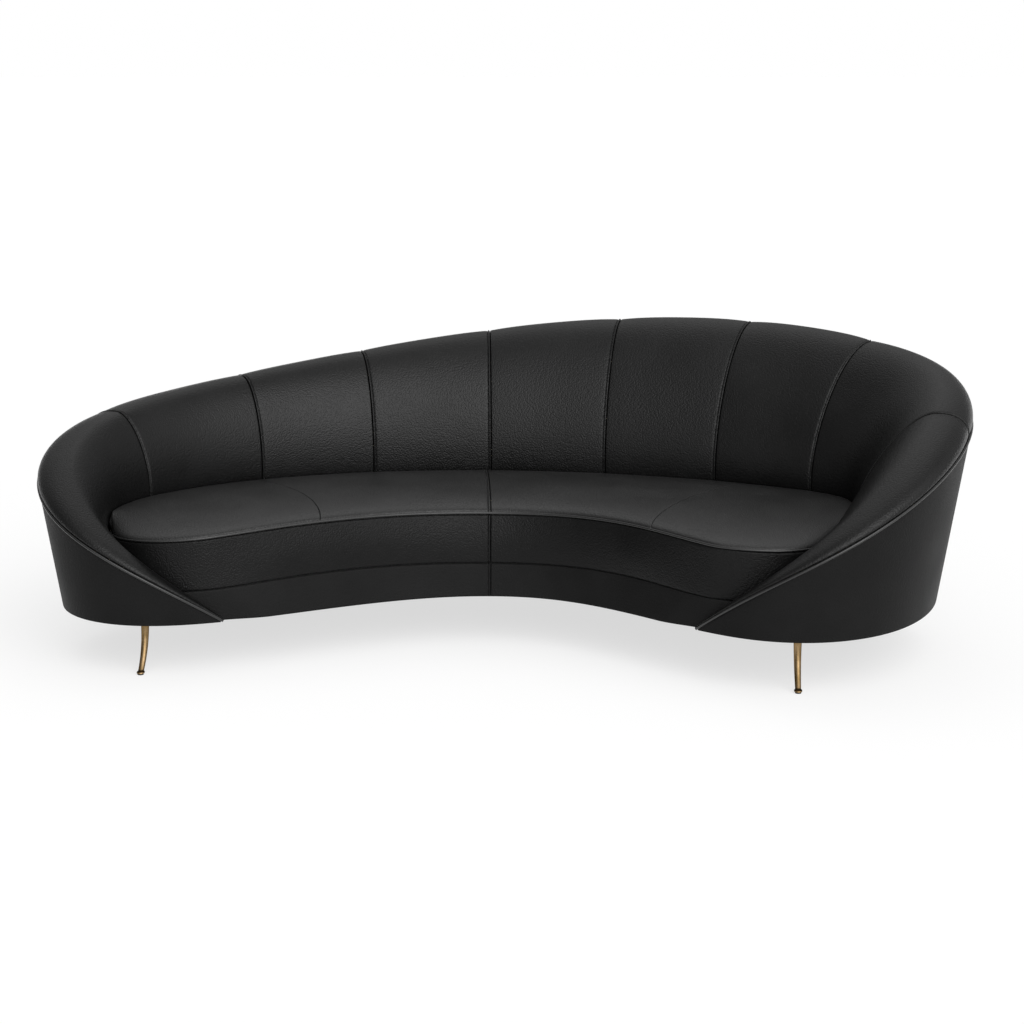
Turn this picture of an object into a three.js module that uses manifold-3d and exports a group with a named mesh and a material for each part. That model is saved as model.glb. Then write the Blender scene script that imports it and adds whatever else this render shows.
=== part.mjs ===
// Curved sofa with one asymmetric wraparound back, tight seat and brass sabre legs.
// Millimetres, +Z up, +X to the sitter's left as seen from the front, +Y to the rear, floor at Z = 0.

import * as THREE from 'three';
import Module from 'manifold-3d';
import { mergeVertices } from 'three/addons/utils/BufferGeometryUtils.js';

const wasm = await Module();
wasm.setup();

// Driving sizes of the body
const planWidth = 2650;
const planDepth = 1392;
const bodyClearance = 155;
const pipingRise = 690;
const rollRise = 110;
const rollInset = 116;
const wallThickness = 250;
const crestReach = 120;
const lumbarBulge = 36;
const panelCrown = 5;
const seamLean = 60;

// Driving sizes of the seat
const seatEdgeHeight = 407;
const seatCrown = 36;
const grooveHeight = 254;
const grooveGap = 4;
const seatEdgeSetback = 32;
const grooveSetback = 20;
const boxingBulge = 9;
const seatSideGap = 4;
const seatEdgeLift = 12;

// Thicknesses of covers, boards and padding
const coverThickness = 3;
const paddedCoverThickness = 14;
const boxingThickness = 6;
const outerBoardThickness = 5;
const foamThickness = 55;
const pipingRadius = 4.5;
const layerGap = 0.3;
const seamGap = 0.4;

// Frame timbers and straps
const baseBoardThickness = 15;
const railThickness = 24;
const railSetback = 9;
const dustCoverThickness = 1.2;
const dustCoverInset = 12;
const baseEdgeGap = 3;
const ribThickness = 18;
const ribTopDrop = 14;
const ribGap = 3;
const topRailWidth = 34;
const topRailHeight = 16;
const crossMemberWidth = 42;
const crossMemberDrop = 22;
const strapWidth = 60;
const strapThickness = 2;
const timberEndGap = 3;

// Legs
const legTopRadius = 12;
const legAnkleRadius = 8.5;
const legRingRadius = 11.5;
const legRingHeight = 5;
const glideThickness = 4;
const glideRadius = 9;
const legPlateSize = 76;
const legPlateThickness = 5;
const legTopSetback = 98;
const legSplay = 58;
const legWeldDepth = 2;

// Outline of the body's bottom edge: control points of a closed cubic spline,
// as shares of plan width and plan depth, from the left front clockwise round the back
const outlineShares = [
  [-0.226, -0.137], [-0.355, -0.287], [-0.460, -0.262], [-0.521, -0.090], [-0.502, 0.162],
  [-0.387, 0.399], [-0.194, 0.557], [0.032, 0.600], [0.251, 0.514], [0.417, 0.356],
  [0.498, 0.169], [0.487, -0.083], [0.423, -0.322], [0.328, -0.428], [0.230, -0.380],
  [0.141, -0.173], [0.041, -0.001], [-0.089, 0.001],
];

// Where the arms' tips meet the bottom edge, as shares of the outline's length
const leftTipShare = 0.04;
const rightTipShare = 0.81;

// Section of the back, at equal steps from the left tip to the right tip
const pipingShares = [0.007, 0.613, 0.709, 0.851, 0.980, 0.981, 0.841, 0.642, 0.007];
const rollRiseShares = [0.08, 0.70, 0.68, 0.64, 0.70, 0.89, 1, 0.51, 0.11];
const rollInsetShares = [0.11, 0.96, 1, 0.78, 0.52, 0.39, 0.69, 0.92, 0.13];
const wallShares = [0.064, 0.70, 0.60, 0.64, 0.84, 0.98, 1, 1.02, 0.064];
const reachShares = [0.08, 0.38, 0.64, 0.86, 1, 1, 0.91, 0.68, 0.09];
const lumbarHeightShares = [0.30, 0.37, 0.42, 0.45, 0.51, 0.46, 0.31, 0.24, 0.20];
const lumbarBulgeShares = [0, 0.36, 0.61, 0.81, 1, 1, 0.59, 0.21, 0];
const flareShare = 0.157;
const rollFullnessShare = 0.62;
const junctionShare = 0.6;
const junctionBlendShare = 0.1;

// Seams across the back, as shares of the run from tip to tip
const seamShares = [0, 0.198, 0.294, 0.372, 0.452, 0.531, 0.609, 0.685, 0.811, 1];
const seamLeanShares = [0, -0.15, -0.2, -0.17, 0.1, 0.6, 0.95, -0.6, 0];

// Ends of the seat and its seams, as shares of the run and of the seat's length
const seatLeftShare = 0.115;
const seatRightShare = 0.845;
const seatEndShare = 0.012;
const foamEndShare = 0.014;
const seatSeamFrontShares = [0, 0.312, 0.482, 0.654, 1];
const seatSeamRearShares = [0, 0.229, 0.452, 0.715, 1];

// How the seat's edge rises and falls, at equal steps along the front, as shares of its height
const edgeRiseShares = [-0.062, -0.058, 0.020, 0.022, -0.014, 0.034, -0.028, -0.046, -0.054];

// Facet counts
const panelSteps = [14, 6, 6, 6, 6, 6, 6, 8, 14];
const rollSteps = 4;
const faceSteps = 7;
const seatSteps = 13;
const seatRows = 7;
const pipingSides = 6;
const legSides = 10;
const legSteps = 9;

// Colours, as seen
const leatherColour = 0x2b2b2c;
const brassColour = 0xb08d62;
const foamColour = 0xe4dcc0;
const plywoodColour = 0xc9a878;
const timberColour = 0xb98f5e;
const strapColour = 0x5a5046;
const clothColour = 0x1c1c1d;
const nylonColour = 0x222222;

const sofa = new THREE.Group();

// Spline helpers

function splineWeights(t) {
  const early = 3 * t ** 3 - 6 * t ** 2 + 4;
  const late = -3 * t ** 3 + 3 * t ** 2 + 3 * t + 1;
  return [(1 - t) ** 3, early, late, t ** 3].map((weight) => weight / 6);
}

class BodyOutline extends THREE.Curve {
  getPoint(t, target = new THREE.Vector2()) {
    const count = outlineShares.length;
    const place = THREE.MathUtils.euclideanModulo(t, 1) * count;
    const first = Math.floor(place);
    target.set(0, 0);
    splineWeights(place - first).forEach((weight, k) => {
      const [xShare, yShare] = outlineShares[(first + k - 1 + count) % count];
      target.x += weight * xShare * planWidth;
      target.y += weight * yShare * planDepth;
    });
    return target;
  }
}

function blendShares(shares, v) {
  const last = shares.length - 1;
  const padded = [2 * shares[0] - shares[1], ...shares, 2 * shares[last] - shares[last - 1]];
  const place = THREE.MathUtils.clamp(v, 0, 1) * last;
  const first = Math.min(Math.floor(place), last - 1);
  return splineWeights(place - first).reduce((sum, weight, k) => sum + weight * padded[first + k], 0);
}

const outline = new BodyOutline();
outline.arcLengthDivisions = 1200;

// A frame on the outline: its point, the way along it and the way out of the body
function frameAt(share) {
  const u = THREE.MathUtils.euclideanModulo(share, 1);
  const point = outline.getPointAt(u);
  const along = outline.getTangentAt(u);
  return { point, along, out: new THREE.Vector2(-along.y, along.x) };
}

function place3(frame, [outward, height], slide = 0) {
  return new THREE.Vector3(
    frame.point.x + frame.out.x * outward + frame.along.x * slide,
    frame.point.y + frame.out.y * outward + frame.along.y * slide,
    height,
  );
}

const runShare = (v) => leftTipShare + v * (rightTipShare - leftTipShare);

// Section of the back at a share of the run: the line that shows, from the piping to the seat

function sectionAt(v) {
  const pipingHeight = bodyClearance + pipingRise * blendShares(pipingShares, v);
  const rise = rollRise * blendShares(rollRiseShares, v);
  const inset = rollInset * blendShares(rollInsetShares, v);
  const wall = wallThickness * blendShares(wallShares, v);
  const reach = crestReach * blendShares(reachShares, v);
  const bulge = lumbarBulge * blendShares(lumbarBulgeShares, v);
  const crestHeight = pipingHeight + rise;
  const pipingOut = flareShare * (pipingHeight - bodyClearance);
  // The seat line runs level and drops where the arm is low
  const armLine = bodyClearance + junctionShare * (crestHeight - bodyClearance);
  const blend = junctionBlendShare * (seatEdgeHeight - bodyClearance);
  const seatLine = seatEdgeHeight + seatEdgeLift;
  const junctionHeight = -blend * Math.log(Math.exp(-armLine / blend) + Math.exp(-seatLine / blend));
  return { pipingHeight, rise, inset, wall, reach, bulge, crestHeight, pipingOut, junctionHeight };
}

// Outer line of the body at a height
const outerAt = (height) => flareShare * (height - bodyClearance);

function faceLine(v) {
  const s = sectionAt(v);
  const up = new THREE.Vector2(flareShare, 1).normalize();
  const start = new THREE.Vector2(s.pipingOut, s.pipingHeight).addScaledVector(up, pipingRadius + layerGap);
  const crest = new THREE.Vector2(s.pipingOut - s.inset, s.crestHeight);
  const foot = new THREE.Vector2(-s.wall, s.junctionHeight);
  const drop = (crest.y - foot.y) * blendShares(lumbarHeightShares, v);
  const roll = new THREE.CubicBezierCurve(
    start,
    start.clone().addScaledVector(up, rollFullnessShare * (s.crestHeight - start.y)),
    new THREE.Vector2(crest.x + rollFullnessShare * s.inset, crest.y),
    crest,
  );
  const face = new THREE.CubicBezierCurve(
    crest,
    new THREE.Vector2(crest.x - s.reach, crest.y),
    new THREE.Vector2(foot.x - s.bulge, foot.y + drop),
    foot,
  );
  return [...roll.getPoints(rollSteps), ...face.getPoints(faceSteps).slice(1)];
}

// The same line with its core: the point inside the wall that each layer is drawn in towards
function layerLine(v) {
  const s = sectionAt(v);
  const line = faceLine(v);
  const coreHeight = line[0].y;
  const faceAtCore = line.slice(rollSteps).find((p) => p.y <= coreHeight) ?? line[line.length - 1];
  const core = new THREE.Vector2((s.pipingOut + faceAtCore.x) / 2, coreHeight);
  return line.map((point, i) => {
    const inWall = i > rollSteps && point.y < coreHeight;
    const centre = inWall ? new THREE.Vector2((outerAt(point.y) + point.x) / 2, point.y) : core;
    return { point, centre };
  });
}

// A layer's line at a depth below the face; the deepest share keeps thin sections open
function atDepth(v, depth, deepestShare, lift = 0) {
  return layerLine(v).map(({ point, centre }) => {
    const reach = point.distanceTo(centre);
    const share = Math.min(depth / reach, deepestShare) - lift / reach;
    return point.clone().lerp(centre, share).toArray();
  });
}

// Solids swept along the outline: each station has two lines of points, joined as a closed band.
// Both lines split their quads the same way, and so do both ends, so that neighbours' facets are parallel.

function bandGeometry(sides) {
  const positions = [];
  const index = [];
  const half = sides[0][0].length;
  const ring = 2 * half;
  sides.forEach(([first, second]) => {
    [...first, ...[...second].reverse()].forEach((p) => positions.push(p.x, p.y, p.z));
  });
  const quad = (a, b, c, d) => index.push(a, b, c, a, c, d);
  for (let i = 0; i < sides.length - 1; i += 1) {
    for (let j = 0; j < ring; j += 1) {
      const k = (j + 1) % ring;
      const corners = [i * ring + j, i * ring + k, (i + 1) * ring + k, (i + 1) * ring + j];
      if (j < half) quad(...corners);
      else quad(...corners.slice(1), corners[0]);
    }
  }
  const last = (sides.length - 1) * ring;
  for (let j = 0; j < half - 1; j += 1) {
    quad(ring - 1 - j, ring - 2 - j, j + 1, j);
    quad(last + j + 1, last + ring - 2 - j, last + ring - 1 - j, last + j);
  }
  const geometry = new THREE.BufferGeometry();
  geometry.setAttribute('position', new THREE.Float32BufferAttribute(positions, 3));
  geometry.setIndex(index);
  return outwardGeometry(geometry);
}

// Turns the faces out where a sweep ran the other way round
function outwardGeometry(geometry) {
  const position = geometry.getAttribute('position');
  const index = geometry.getIndex().array;
  const corner = (i) => new THREE.Vector3().fromBufferAttribute(position, index[i]);
  let volume = 0;
  for (let i = 0; i < index.length; i += 3) volume += corner(i).dot(corner(i + 1).cross(corner(i + 2)));
  if (volume < 0) {
    for (let i = 0; i < index.length; i += 3) [index[i + 1], index[i + 2]] = [index[i + 2], index[i + 1]];
  }
  geometry.computeVertexNormals();
  return geometry;
}

function addPiece(name, geometry, color, roughness, metalness = 0) {
  const material = new THREE.MeshStandardMaterial({ color, roughness, metalness });
  const mesh = new THREE.Mesh(geometry, material);
  mesh.name = name;
  sofa.add(mesh);
  return mesh;
}

const addLeather = (name, geometry) => addPiece(name, geometry, leatherColour, 0.48);

// Stations between two shares of the run, shared by every layer so that the layers' facets are parallel
const runStations = seamShares.slice(0, -1).flatMap((start, panel) => {
  const span = seamShares[panel + 1] - start;
  const steps = panelSteps[panel];
  return Array.from({ length: steps }, (_, i) => start + (span * i) / steps);
});
runStations.push(1);

const runLength = outline.getLength() * (rightTipShare - leftTipShare);

function stationsBetween(from, to) {
  const margin = seamGap / 2 / runLength;
  const inside = runStations.filter((v) => v > from + 2 * margin && v < to - 2 * margin);
  return [from === 0 ? 0 : from + margin, ...inside, to === 1 ? 1 : to - margin];
}

// A line of the back at a station, leaning along the run towards its crest as the seams do
const seamLeanPower = 2;

function leaningLine(station, lineAt) {
  const lean = (seamLean * blendShares(seamLeanShares, station)) / runLength;
  const rows = lineAt(station).length;
  return Array.from({ length: rows }, (_, row) => {
    const toCrest = row < rollSteps ? row / rollSteps : (rows - 1 - row) / faceSteps;
    const v = station + lean * toCrest ** seamLeanPower;
    return place3(frameAt(runShare(v)), lineAt(v)[row]);
  });
}

function sweepBack(from, to, firstLine, secondLine) {
  return bandGeometry(stationsBetween(from, to).map((station) => (
    [firstLine, secondLine].map((line) => leaningLine(station, (v) => line(v, station)))
  )));
}

// Sweeps two section lines along the run
function sweepRun(from, to, firstLine, secondLine) {
  return bandGeometry(stationsBetween(from, to).map((v) => {
    const frame = frameAt(runShare(v));
    return [firstLine(v), secondLine(v)].map((line) => line.map((p) => place3(frame, p)));
  }));
}

// Inner back cover: padded leather panels sewn edge to edge, crowned between the seams

const thinCoverShare = 0.34;
const thinFoamShare = 0.8;
const crownPower = 4;
const seamLevelShare = 0.4;

function panelLift(v) {
  const panel = seamShares.slice(1, -1).filter((seam) => seam < v).length;
  const s = (v - seamShares[panel]) / (seamShares[panel + 1] - seamShares[panel]);
  const thickness = Math.min(1, sectionAt(v).wall / wallThickness);
  return panelCrown * thickness * (seamLevelShare - Math.abs(2 * s - 1) ** crownPower);
}

for (let panel = 0; panel < seamShares.length - 1; panel += 1) {
  const geometry = sweepBack(
    seamShares[panel],
    seamShares[panel + 1],
    (v, station) => atDepth(v, 0, 1, panelLift(station)),
    (v) => atDepth(v, paddedCoverThickness, thinCoverShare),
  );
  addLeather(`back_panel_${panel + 1}`, geometry);
}

// Back padding under the panels, in three lengths that meet at ribs and end short of the tips
const paddingEndStep = 4;
const boardEndStep = 2;
const stationFromEnd = (step) => runStations[runStations.length - 1 - step];
const paddingStart = runStations[paddingEndStep];
const paddingEnd = stationFromEnd(paddingEndStep);
const foamEndShares = [paddingStart, seamShares[2], seamShares[6], paddingEnd];
['left', 'middle', 'right'].forEach((side, i) => {
  const geometry = sweepBack(
    foamEndShares[i],
    foamEndShares[i + 1],
    (v) => atDepth(v, paddedCoverThickness, thinCoverShare, -layerGap),
    (v) => atDepth(v, paddedCoverThickness + foamThickness, thinFoamShare),
  );
  addPiece(`back_foam_${side}`, geometry, foamColour, 0.9);
});

// Outer cover and the bent board behind it, in three lengths with seams at the rear
const outerSeamShares = [0, seamShares[2], seamShares[7], 1];
const boardStart = runStations[boardEndStep];
const boardEndShares = [boardStart, seamShares[2], seamShares[7], stationFromEnd(boardEndStep)];
const outerBoardTopDrop = 10;

function outerLine(v, depth, bottom, topDrop) {
  const top = sectionAt(v).pipingHeight - topDrop;
  return [[outerAt(bottom) - depth, bottom], [outerAt(top) - depth, top]];
}

const boardBottom = bodyClearance + dustCoverThickness;
const baseTop = boardBottom + baseBoardThickness;
['left', 'rear', 'right'].forEach((side, i) => {
  const cover = sweepRun(
    outerSeamShares[i],
    outerSeamShares[i + 1],
    (v) => outerLine(v, 0, bodyClearance, pipingRadius + layerGap),
    (v) => outerLine(v, coverThickness, bodyClearance, pipingRadius + layerGap),
  );
  addLeather(`outer_cover_${side}`, cover);
  const boardDepth = coverThickness + layerGap;
  const board = sweepRun(
    boardEndShares[i],
    boardEndShares[i + 1],
    (v) => outerLine(v, boardDepth, boardBottom, outerBoardTopDrop),
    (v) => outerLine(v, boardDepth + outerBoardThickness, boardBottom, outerBoardTopDrop),
  );
  addPiece(`outer_board_${side}`, board, plywoodColour, 0.7);
});

// Piping along the edge of the roll, from tip to tip

function roundSection(outward, height, radius) {
  const point = (k) => {
    const angle = (2 * Math.PI * k) / pipingSides;
    return [outward + radius * Math.cos(angle), height + radius * Math.sin(angle)];
  };
  const half = pipingSides / 2;
  return [
    Array.from({ length: half }, (_, k) => point(k)),
    Array.from({ length: half }, (_, k) => point(pipingSides - 1 - k)),
  ];
}

const pipingSection = (v) => roundSection(sectionAt(v).pipingOut, sectionAt(v).pipingHeight, pipingRadius);
addLeather('back_piping', sweepRun(0, 1, (v) => pipingSection(v)[0], (v) => pipingSection(v)[1]));

// Back ribs at the seams, standing on the base board inside the padding, and the top rail along them
const ribOuterDepth = coverThickness + outerBoardThickness + 3 * layerGap;
const ribLevels = 8;
const topRailEndShares = [0.15, 0.86];

// How far out a section line lies at a height, going down from its crest
function outAtHeight(line, height) {
  const below = line.findIndex(([, z], i) => i > rollSteps && z <= height);
  if (below < 0) return line[line.length - 1][0];
  const [upper, lower] = [line[below - 1], line[below]];
  return THREE.MathUtils.mapLinear(height, upper[1], lower[1], upper[0], lower[0]);
}

const ribTopAt = (v) => sectionAt(v).pipingHeight - topRailHeight - ribTopDrop;
const cavityLine = (v) => atDepth(v, paddedCoverThickness + foamThickness, thinFoamShare, -ribGap);

function ribLines(v) {
  const inner = cavityLine(v);
  const halfShare = ribThickness / 2 / runLength;
  const top = Math.min(ribTopAt(v - halfShare), ribTopAt(v + halfShare)) - layerGap;
  const level = (k) => THREE.MathUtils.lerp(top, baseTop, k / (ribLevels - 1));
  const levels = Array.from({ length: ribLevels }, (_, k) => level(k));
  return [
    levels.map((height) => [outAtHeight(inner, height), height]),
    levels.map((height) => [outerAt(height) - ribOuterDepth, height]),
  ];
}

for (let seam = 1; seam < seamShares.length - 1; seam += 1) {
  const frame = frameAt(runShare(seamShares[seam]));
  const [front, back] = ribLines(seamShares[seam]);
  const sides = [-ribThickness / 2, ribThickness / 2].map((slide) => (
    [front.map((p) => place3(frame, p, slide)), back.map((p) => place3(frame, p, slide))]
  ));
  addPiece(`back_rib_${seam}`, bandGeometry(sides), plywoodColour, 0.7);
}

function topRailLine(v, side) {
  const bottom = ribTopAt(v) + layerGap;
  const middle = (outAtHeight(cavityLine(v), bottom + topRailHeight) + outerAt(bottom) - ribOuterDepth) / 2;
  const outward = middle + (side * topRailWidth) / 2;
  return [[outward, bottom], [outward, bottom + topRailHeight]];
}

const topRail = sweepRun(...topRailEndShares, (v) => topRailLine(v, 1), (v) => topRailLine(v, -1));
addPiece('top_rail', topRail, timberColour, 0.7);

// Seat plan: how far the seat's side is set in from the outline at a height

const bowEndShare = 0.04;
const armEntryShare = 0.02;

// How far the crowned back reaches in over the seat's side
function backReach(v) {
  const low = atDepth(v, 0, 1, panelLift(v)).filter(([, height]) => height < seatEdgeHeight + seatCrown);
  return Math.max(...low.map(([outward]) => -outward));
}

// A place's share of the run, or the nearer tip from the front
function nearestRunPlace(u) {
  const v = (u - leftTipShare) / (rightTipShare - leftTipShare);
  const frontMiddle = (1 + leftTipShare + rightTipShare) / 2;
  return u > frontMiddle ? 0 : THREE.MathUtils.clamp(v, 0, 1);
}

// How far along the front a place lies from the nearer arm's tip, as a share of the outline;
// none beside the arms
function pastTip(u) {
  if (u > leftTipShare && u < rightTipShare) return 0;
  const fromLeft = THREE.MathUtils.euclideanModulo(leftTipShare - u, 1);
  const fromRight = THREE.MathUtils.euclideanModulo(u - rightTipShare, 1);
  return Math.min(fromLeft, fromRight);
}

// The boxing bows out along the front and runs straight up beside the arms
function bowAt(share) {
  return THREE.MathUtils.smoothstep(pastTip(THREE.MathUtils.euclideanModulo(share, 1)), 0, bowEndShare);
}

function seatSetback(share, height) {
  const fromTip = (height - bodyClearance) / (grooveHeight - bodyClearance);
  const toEdge = (height - grooveHeight) / (seatEdgeHeight - grooveHeight);
  const lean = height < grooveHeight
    ? grooveSetback * fromTip
    : grooveSetback + (seatEdgeSetback - grooveSetback) * Math.min(toEdge, 1);
  const u = THREE.MathUtils.euclideanModulo(share, 1);
  const v = nearestRunPlace(u);
  const besideArm = 1 - THREE.MathUtils.smoothstep(pastTip(u), 0, armEntryShare);
  return Math.max(lean, (backReach(v) + seatSideGap) * besideArm);
}

// The seat's front path runs from the left end round the front to the right end,
// its rear path round the back
const leftEnd = runShare(seatLeftShare);
const rightEnd = runShare(seatRightShare);
const frontPathShare = (s) => leftEnd - s * (1 - (rightEnd - leftEnd));
const rearPathShare = (s) => leftEnd + s * (rightEnd - leftEnd);

// The seat's edge and the groove below it rise and fall a little along the front
function edgeRise(s) {
  return seatEdgeHeight * blendShares(edgeRiseShares, s);
}

function seatEdgePoint(s, height, inward) {
  const share = frontPathShare(s);
  const above = THREE.MathUtils.clamp((height - bodyClearance) / (grooveHeight - bodyClearance), 0, 1);
  return place3(frameAt(share), [-seatSetback(share, height) - inward, height + above * edgeRise(s)]);
}

// Stations along the front path, shared by the covers, the welt and the foam
function seamSteps(shares) {
  const inner = shares.slice(0, -1).flatMap((start, k) => (
    Array.from({ length: seatSteps }, (_, i) => start + ((shares[k + 1] - start) * i) / seatSteps)
  ));
  return [...inner, 1];
}

const frontStations = seamSteps(seatSeamFrontShares);
const rearStations = seamSteps(seatSeamRearShares);
const frontPathSpan = 1 - (rightEnd - leftEnd);
const centreSeam = seatSeamFrontShares[2];
const seamMargin = seamGap / 2 / (outline.getLength() * frontPathSpan);

// Sweeps two section lines along the front path; a line gives pairs of inward distance and height
function sweepFront(from, to, firstLine, secondLine) {
  const inside = frontStations.filter((s) => s > from + 2 * seamMargin && s < to - 2 * seamMargin);
  return bandGeometry([from, ...inside, to].map((s) => {
    const share = frontPathShare(s);
    const bow = bowAt(share);
    return [firstLine, secondLine].map((line) => (
      line.map(([inward, height]) => seatEdgePoint(s, height, inward > 0 ? inward : inward * bow))
    ));
  }));
}

const railCoverReachShare = 0.035;
const railCoverStart = (leftEnd - runShare(railCoverReachShare)) / frontPathSpan;
const railCoverEnd = 1 - (runShare(1 - railCoverReachShare) - rightEnd) / frontPathSpan;
const halves = [
  ['left', [railCoverStart, centreSeam - seamMargin], [0, centreSeam - seamMargin]],
  ['right', [centreSeam + seamMargin, railCoverEnd], [centreSeam + seamMargin, 1]],
];

// Front rail cover below the groove and the boxing above it, both with a centre seam
halves.forEach(([side, railReach, boxingReach]) => {
  const railTop = grooveHeight - grooveGap / 2;
  const railCover = sweepFront(
    ...railReach,
    [[0, bodyClearance], [0, railTop]],
    [[boxingThickness, bodyClearance], [boxingThickness, railTop]],
  );
  addLeather(`front_rail_cover_${side}`, railCover);
  const low = grooveHeight + grooveGap / 2;
  const high = seatEdgeHeight - pipingRadius - layerGap;
  const bowShares = [0, 0.25, 0.5, 0.75, 1];
  const bow = bowShares.map((t) => [-boxingBulge * Math.sin(Math.PI * t), low + (high - low) * t]);
  const back = bowShares.map((t) => [boxingThickness, low + (high - low) * t]);
  addLeather(`seat_boxing_${side}`, sweepFront(...boxingReach, bow, back));
});

// Welt along the seat's front edge
const weltSection = roundSection(pipingRadius, seatEdgeHeight, pipingRadius);
addLeather('seat_welt', sweepFront(0, 1, weltSection[0], weltSection[1]));

// Rails under the seat: the front rail follows the front path and the rear rail the back
const railTopHeight = grooveHeight - grooveGap;
const railLine = (inward) => [[inward, baseTop], [inward, railTopHeight]];
const railInward = railSetback;

function straightRail(pathShare, from, to, steps) {
  const sides = [];
  for (let i = 0; i <= steps; i += 1) {
    const share = pathShare(from + ((to - from) * i) / steps);
    const frame = frameAt(share);
    const setback = seatSetback(share, seatEdgeHeight);
    sides.push([railInward, railInward + railThickness].map((inward) => (
      railLine(inward).map(([, height]) => place3(frame, [-setback - inward, height]))
    )));
  }
  return bandGeometry(sides);
}

const railEndShare = 0.06;
const frontRailSteps = 52;
const rearRailSteps = 44;
const frontRail = straightRail(frontPathShare, railEndShare, 1 - railEndShare, frontRailSteps);
addPiece('front_rail', frontRail, timberColour, 0.7);
const rearRail = straightRail(rearPathShare, railEndShare, 1 - railEndShare, rearRailSteps);
addPiece('rear_rail', rearRail, timberColour, 0.7);

// Points across the seat: s runs from the left end to the right end, e from the front edge to the rear
function acrossSeat(s, e, height, inward) {
  const front = seatEdgePoint(s, seatEdgeHeight, inward);
  const rearShare = rearPathShare(s);
  const rear = place3(frameAt(rearShare), [-seatSetback(rearShare, seatEdgeHeight) - inward, height]);
  const point = front.lerp(rear, e);
  point.z = height;
  return point;
}

// Cross members and webbing straps between the rails
function laidAcross(s, width, bottom, top, inward) {
  const pathLength = outline.getLength() * (rightEnd - leftEnd);
  const half = width / 2 / pathLength;
  const sides = [s - half, s + half].map((place) => (
    [0, 1].map((e) => [bottom, top].map((height) => acrossSeat(place, e, height, inward)))
  ));
  return bandGeometry(sides);
}

const crossMemberShares = [0.24, 0.5, 0.76];
crossMemberShares.forEach((s, i) => {
  const inward = railInward + railThickness + timberEndGap;
  const member = laidAcross(s, crossMemberWidth, baseTop, railTopHeight - crossMemberDrop, inward);
  addPiece(`cross_member_${i + 1}`, member, timberColour, 0.7);
});

const strapShares = [0.15, 0.325, 0.44, 0.6, 0.85];
strapShares.forEach((s, i) => {
  const inward = railInward + timberEndGap;
  const strap = laidAcross(s, strapWidth, railTopHeight, railTopHeight + strapThickness, inward);
  addPiece(`seat_strap_${i + 1}`, strap, strapColour, 0.9);
});

// Seat foam and cover: crowned across and towards both ends
const crownAcrossPower = 0.42;
const crownAlongPower = 0.3;

function crownHeight(s, e) {
  const across = Math.max(4 * e * (1 - e), 0) ** crownAcrossPower;
  const along = Math.max(4 * s * (1 - s), 0) ** crownAlongPower;
  return seatEdgeHeight + edgeRise(s) * (1 - e) + seatEdgeLift * e + seatCrown * across * along;
}

// Rows across the seat lie closer at its rounded edges
const rowShare = (k) => (1 - Math.cos((Math.PI * k) / seatRows)) / 2;
const rowShares = Array.from({ length: seatRows + 1 }, (_, k) => rowShare(k));

const coverInward = 2 * pipingRadius + 3 * layerGap;
const seamCurvePower = 1.45;

// A place along the seat for a station and a row; the seams bend between their front and rear ends
function alongSeat(station, e, endShare) {
  const bend = e ** seamCurvePower;
  const share = THREE.MathUtils.lerp(frontStations[station], rearStations[station], bend);
  return THREE.MathUtils.clamp(share, endShare, 1 - endShare);
}

function seatCoverPiece(piece) {
  const start = piece * seatSteps;
  const end = start + seatSteps;
  const sides = [];
  for (let station = start; station <= end; station += 1) {
    const margin = (station === start ? seamMargin : 0) - (station === end ? seamMargin : 0);
    const column = (sink) => rowShares.map((e) => {
      const s = alongSeat(station, e, seatEndShare) + margin;
      return acrossSeat(s, e, crownHeight(s, e) - sink, coverInward);
    });
    sides.push([column(0), column(coverThickness)]);
  }
  return bandGeometry(sides);
}

for (let piece = 0; piece < seatSeamFrontShares.length - 1; piece += 1) {
  addLeather(`seat_cover_${piece + 1}`, seatCoverPiece(piece));
}

const foamInward = coverInward + 2 * layerGap;
const foamSink = coverThickness + 4 * layerGap;
const foamBottom = railTopHeight + strapThickness;
const foamSides = frontStations.map((_, station) => {
  const column = (heightAt) => rowShares.map((e) => {
    const s = alongSeat(station, e, foamEndShare);
    return acrossSeat(s, e, heightAt(s, e), foamInward);
  });
  return [column((s, e) => crownHeight(s, e) - foamSink), column(() => foamBottom)];
});
addPiece('seat_foam', bandGeometry(foamSides), foamColour, 0.9);

// Base board and the dust cover under it, across the whole plan
const baseSteps = 72;
const boardReturnShare = 0.025;

// The boards stop behind the front rail's cover, and go out under the arms past the cover's ends
function boardSetback(share, inset) {
  const v = nearestRunPlace(THREE.MathUtils.euclideanModulo(share, 1));
  const boardEntryShare = railCoverReachShare + boardReturnShare;
  const underArm = THREE.MathUtils.smoothstep(Math.min(v, 1 - v), railCoverReachShare, boardEntryShare);
  const behindCover = seatSetback(share, bodyClearance) + boxingThickness + 2 * baseEdgeGap;
  return Math.max(inset, behindCover * (1 - underArm));
}

function plate(inset, bottom, top) {
  const endShare = 0.004;
  const sides = [];
  for (let i = 0; i <= baseSteps; i += 1) {
    const s = endShare + ((1 - 2 * endShare) * i) / baseSteps;
    const edges = [frontPathShare(s), rearPathShare(s)];
    sides.push([bottom, top].map((height) => (
      edges.map((share) => place3(frameAt(share), [-boardSetback(share, inset), height]))
    )));
  }
  return bandGeometry(sides);
}

const boardInset = coverThickness + outerBoardThickness + baseEdgeGap;
addPiece('base_board', plate(boardInset, boardBottom, baseTop), plywoodColour, 0.7);
addPiece('dust_cover', plate(dustCoverInset, bodyClearance, boardBottom), clothColour, 0.95);

// Sabre legs: a round tapered leg that curves out to its foot, a turned ring at the floor,
// and a plate welded to its top and screwed to the base board

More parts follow.
